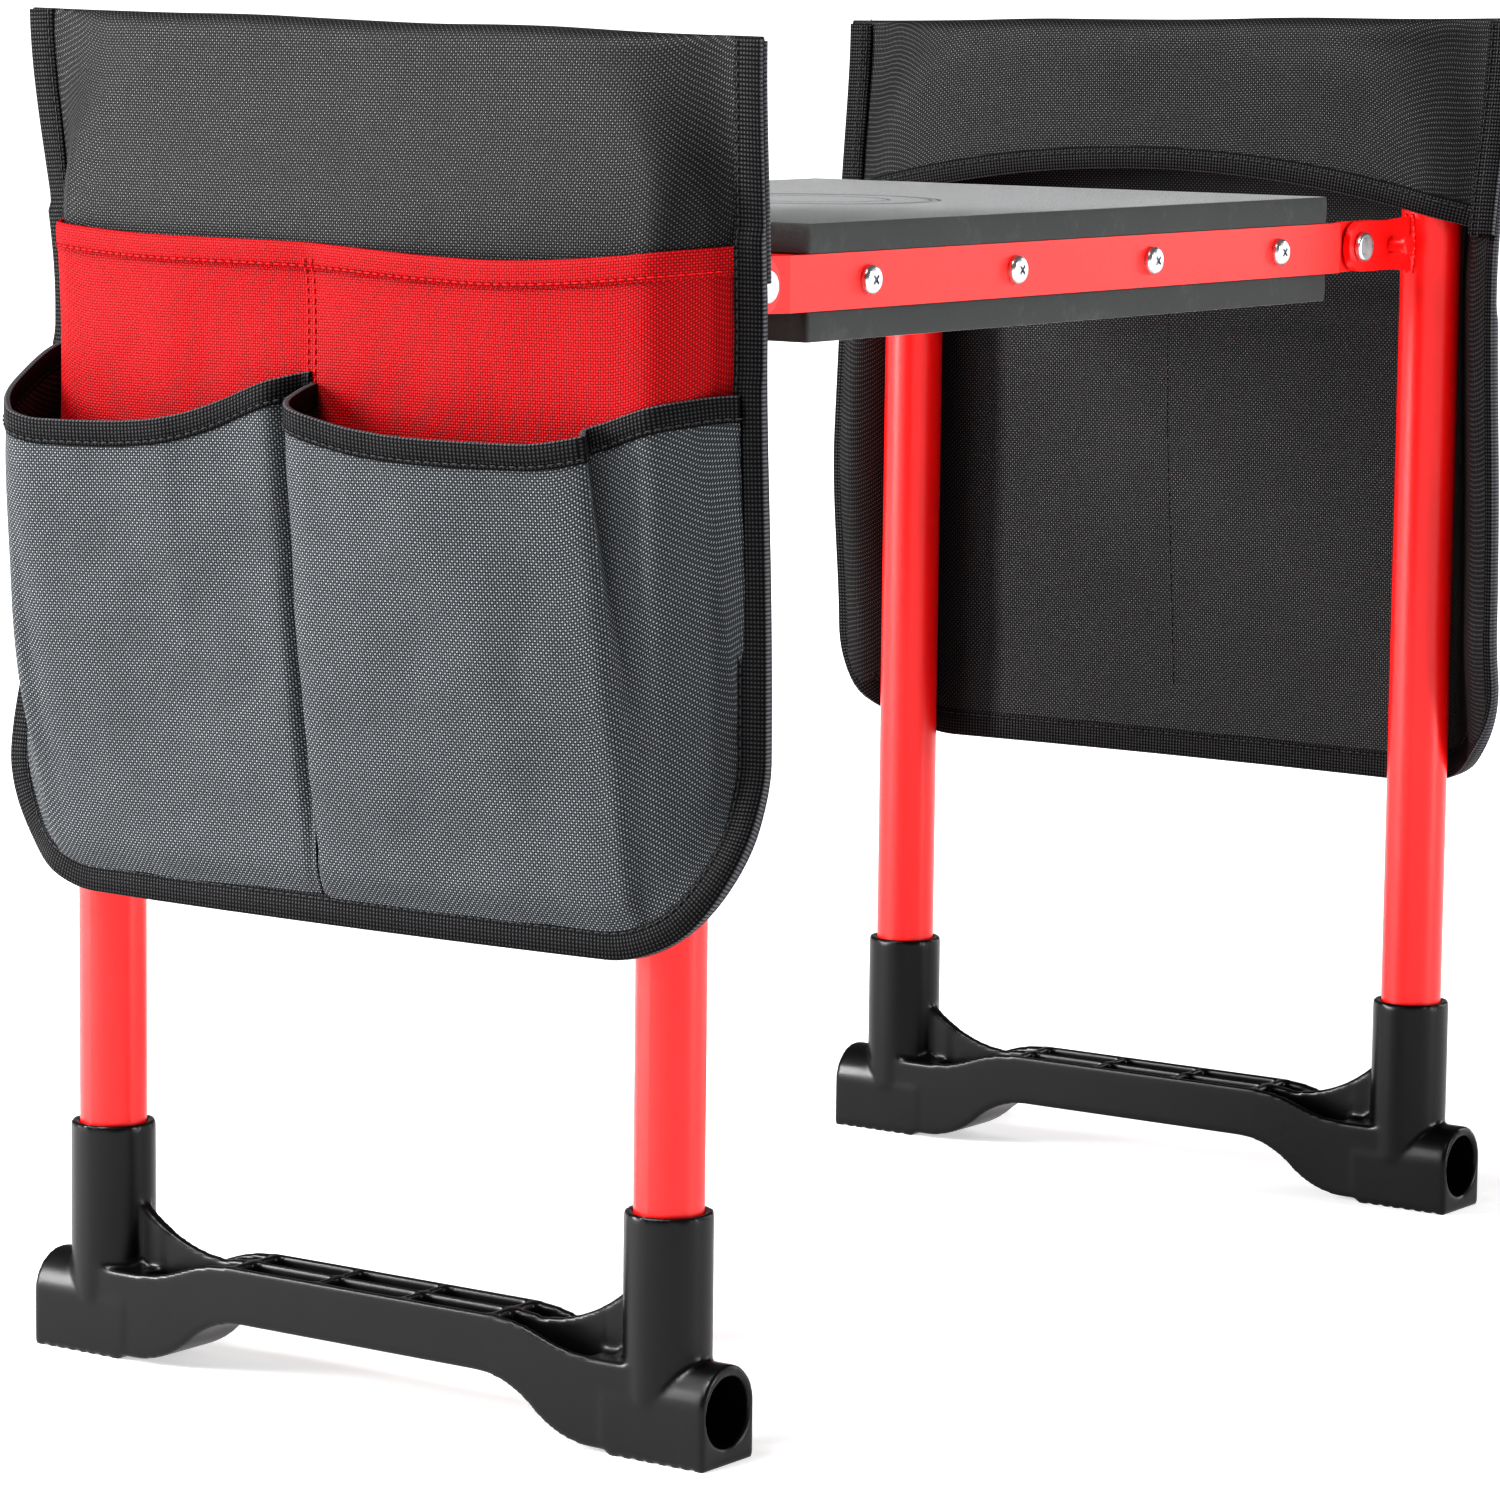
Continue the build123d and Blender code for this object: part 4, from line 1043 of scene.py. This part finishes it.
    # The tape's faces stand further out where the pockets are sewn in, and less far in along the flap.
    with_red = np.array([smooth((RED_TOP + 9 * MM - z) / (4 * MM)) for _, z in outline])
    with_grey = np.array([smooth((POCKET_TOP + 22 * MM - z) / (8 * MM)) for _, z in outline])
    with_flap = np.array([smooth((z - FLAP_SIDE_Z + 4 * MM) / (4 * MM)) for _, z in outline])
    layers = (1.3 + 2.0 * with_red + 1.2 * with_grey) * MM
    closed = (1.1 - 0.5 * with_flap) * MM
    binding = tape(
        f"{side_name}_edge_binding", edge - inward * 1.0 * MM, inward, outward,
        TAPE_WIDTH, layers, closed, edge_tape, flip,
    )
    seam = edge + inward * (TAPE_WIDTH - EDGE_STITCH)
    edge_lines = both_faces(seam, outward, (layers + 0.05 * MM)[:, None], (closed + 0.05 * MM)[:, None])
    sewn_edge = stitches(f"{side_name}_edge_stitching", edge_lines, black_thread)

    # Binding along the flap's arched edge.
    arch = []
    for y in np.linspace(-(BAG_HALF - 3 * MM), BAG_HALF - 3 * MM, 90):
        z = flap_edge(y)
        arch.append(drawn(flap_u(y, z, k), y, z))
    arch, flap_out = facing(arch, -1)
    flap_in = units(np.cross(np.gradient(arch, axis=0), flap_out))
    if flap_in[0][2] < 0:
        flap_in = -flap_in
    flap_tape = tape(
        f"{side_name}_flap_binding", arch - flap_in * 0.8 * MM, flap_in, flap_out,
        MOUTH_TAPE, 1.3 * MM, 1.2 * MM, edge_tape, flip,
    )
    flap_seam = arch + flap_in * (MOUTH_TAPE - 3 * MM)
    flap_lines = [(flap_seam + flap_out * 1.4 * MM, flap_out)]

    # Binding down both sides of the flap, over the ends of the arched one.
    flap_sides = []
    for end, sy in ENDS.items():
        heights = np.linspace(top_line(sy * BAG_HALF, k) - 1 * MM, flap_edge(BAG_HALF) - 1 * MM, 50)
        rim = np.array([spot(flap_u(sy * BAG_HALF, z, k), sy * half_width(z), z) for z in heights])
        within = sy * (BAG_HALF - TAPE_WIDTH)
        side_in = units(np.array([drawn(flap_u(within, z, k), within, z) for z in heights]) - rim)
        side_out = units(np.cross(np.gradient(rim, axis=0), side_in))
        side_out *= -np.sign(side_out[:, :1] * k)
        flap_sides.append(tape(
            f"{side_name}_{end}_flap_side_binding", rim - side_in * 0.8 * MM, side_in, side_out,
            TAPE_WIDTH, 2.4 * MM, 0.4 * MM, edge_tape, flip,
        ))
        for from_tape_edge in (EDGE_STITCH, SECOND_STITCH):
            line = rim + side_in * (TAPE_WIDTH - from_tape_edge) + side_out * 2.5 * MM
            flap_lines.append((line, side_out))
    flap_sewn = stitches(f"{side_name}_flap_stitching", flap_lines, black_thread)

    # The seam between the pockets goes through the panel and shows on its inner face.
    rises = np.linspace(BAG_BOTTOM + 30 * MM, RED_TOP - 4 * MM, 60)
    middle_back = [spot(panel_u(divider(z), z, k) - 0.65 * MM, divider(z), z) for z in rises]
    back_sewn = stitches(f"{side_name}_back_stitching", [facing(middle_back, -1)], black_thread)

    shell_trims = [binding, sewn_edge, flap_tape, *flap_sides, flap_sewn, back_sewn]
    slots = {
        "black_fabric": [shell],
        "red_fabric": [red, hem, red_stitches],
        "grey_fabric": [sheet[0] for sheet in grey_sheets],
        "binding_tape": shell_trims + [piece for sheet in grey_sheets for piece in sheet[3:]],
    }
    for slot, pieces in slots.items():
        for piece in pieces:
            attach(piece, f"{side_name}_leg")
    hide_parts(f"{side_name}_bag_outer_panel", f"{side_name}_bag_inner_flap")
    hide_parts(f"{side_name}_bag_binding")
    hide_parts(f"{side_name}_bag_red_pocket")
    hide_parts(f"{side_name}_bag_front_pockets")


for side_name in SIDES:
    foot_beam(side_name)
    weld_beads(side_name)
    bag(side_name)
    for end in ENDS:
        lock_spring(side_name, end)

# ---- floor, light and camera
floor_half = 6.0
floor_corners = [(x * floor_half, y * floor_half, 0) for x, y in ((-1, -1), (1, -1), (1, 1), (-1, 1))]
floor = new_object("floor", floor_corners, [(0, 1, 2, 3)], pale_floor("floor_paint"))

world = bpy.data.worlds.new("studio")
bpy.context.scene.world = world
world.use_nodes = True
sky = world.node_tree
height = sky.nodes.new("ShaderNodeSeparateXYZ")
ramp = sky.nodes.new("ShaderNodeMapRange")
sky.links.new(sky.nodes.new("ShaderNodeTexCoord").outputs["Generated"], height.inputs[0])
sky.links.new(height.outputs[2], ramp.inputs["Value"])
# Bright at the horizon and dim overhead: (heights between which it fades, brightness at both).
sky_fade = (0.05, 0.18, 1.0, 0.16)
for socket, value in zip(ramp.inputs[1:5], sky_fade):
    socket.default_value = value
sky.nodes["Background"].inputs["Color"].default_value = (1.0, 1.0, 1.0, 1)
sky.links.new(ramp.outputs[0], sky.nodes["Background"].inputs["Strength"])
bpy.context.scene.view_settings.view_transform = "Standard"
bpy.context.scene.view_settings.look = "High Contrast"


def softbox(name, place, target, size, power):
    light = bpy.data.lights.new(name, "AREA")
    light.shape = "RECTANGLE"
    light.size, light.size_y = size
    light.energy = power
    holder = placed(name, light)
    holder.location = place
    holder.rotation_mode = "QUATERNION"
    holder.rotation_quaternion = (Vector(target) - Vector(place)).to_track_quat("-Z", "Y")


softbox("key", (-1.8, 1.8, 0.95), (-0.15, 0, 0.35), (0.4, 1.1), 66)
softbox("front", (0.6, -2.2, 0.7), (0.1, 0, 0.3), (0.25, 1.3), 20)
softbox("side", (2.1, -0.9, 0.9), (0.2, 0, 0.3), (0.5, 1.2), 8)
softbox("top", (-1.2, 0.4, 2.0), (-0.25, 0, 0.45), (1.0, 1.0), 46)

VIEW_TURN = math.radians(54.45)
VIEW_DOWN = math.radians(7.56)
VIEW_ROLL = math.radians(0.62)
VIEW_FROM = (-1.887, -1.305, 0.523)
VIEW_LENS = 138.9
camera_data = bpy.data.cameras.new("camera")
camera_data.sensor_width = 36
camera_data.lens = VIEW_LENS
camera_data.shift_x = 0.0217
camera_data.shift_y = -0.0087
camera = placed("camera", camera_data)
camera.location = VIEW_FROM
camera.rotation_mode = "QUATERNION"
ahead = Vector((
    math.sin(VIEW_TURN) * math.cos(VIEW_DOWN),
    math.cos(VIEW_TURN) * math.cos(VIEW_DOWN),
    -math.sin(VIEW_DOWN),
))
camera.rotation_quaternion = ahead.to_track_quat("-Z", "Y") @ Quaternion((0, 0, 1), VIEW_ROLL)
bpy.context.scene.camera = camera
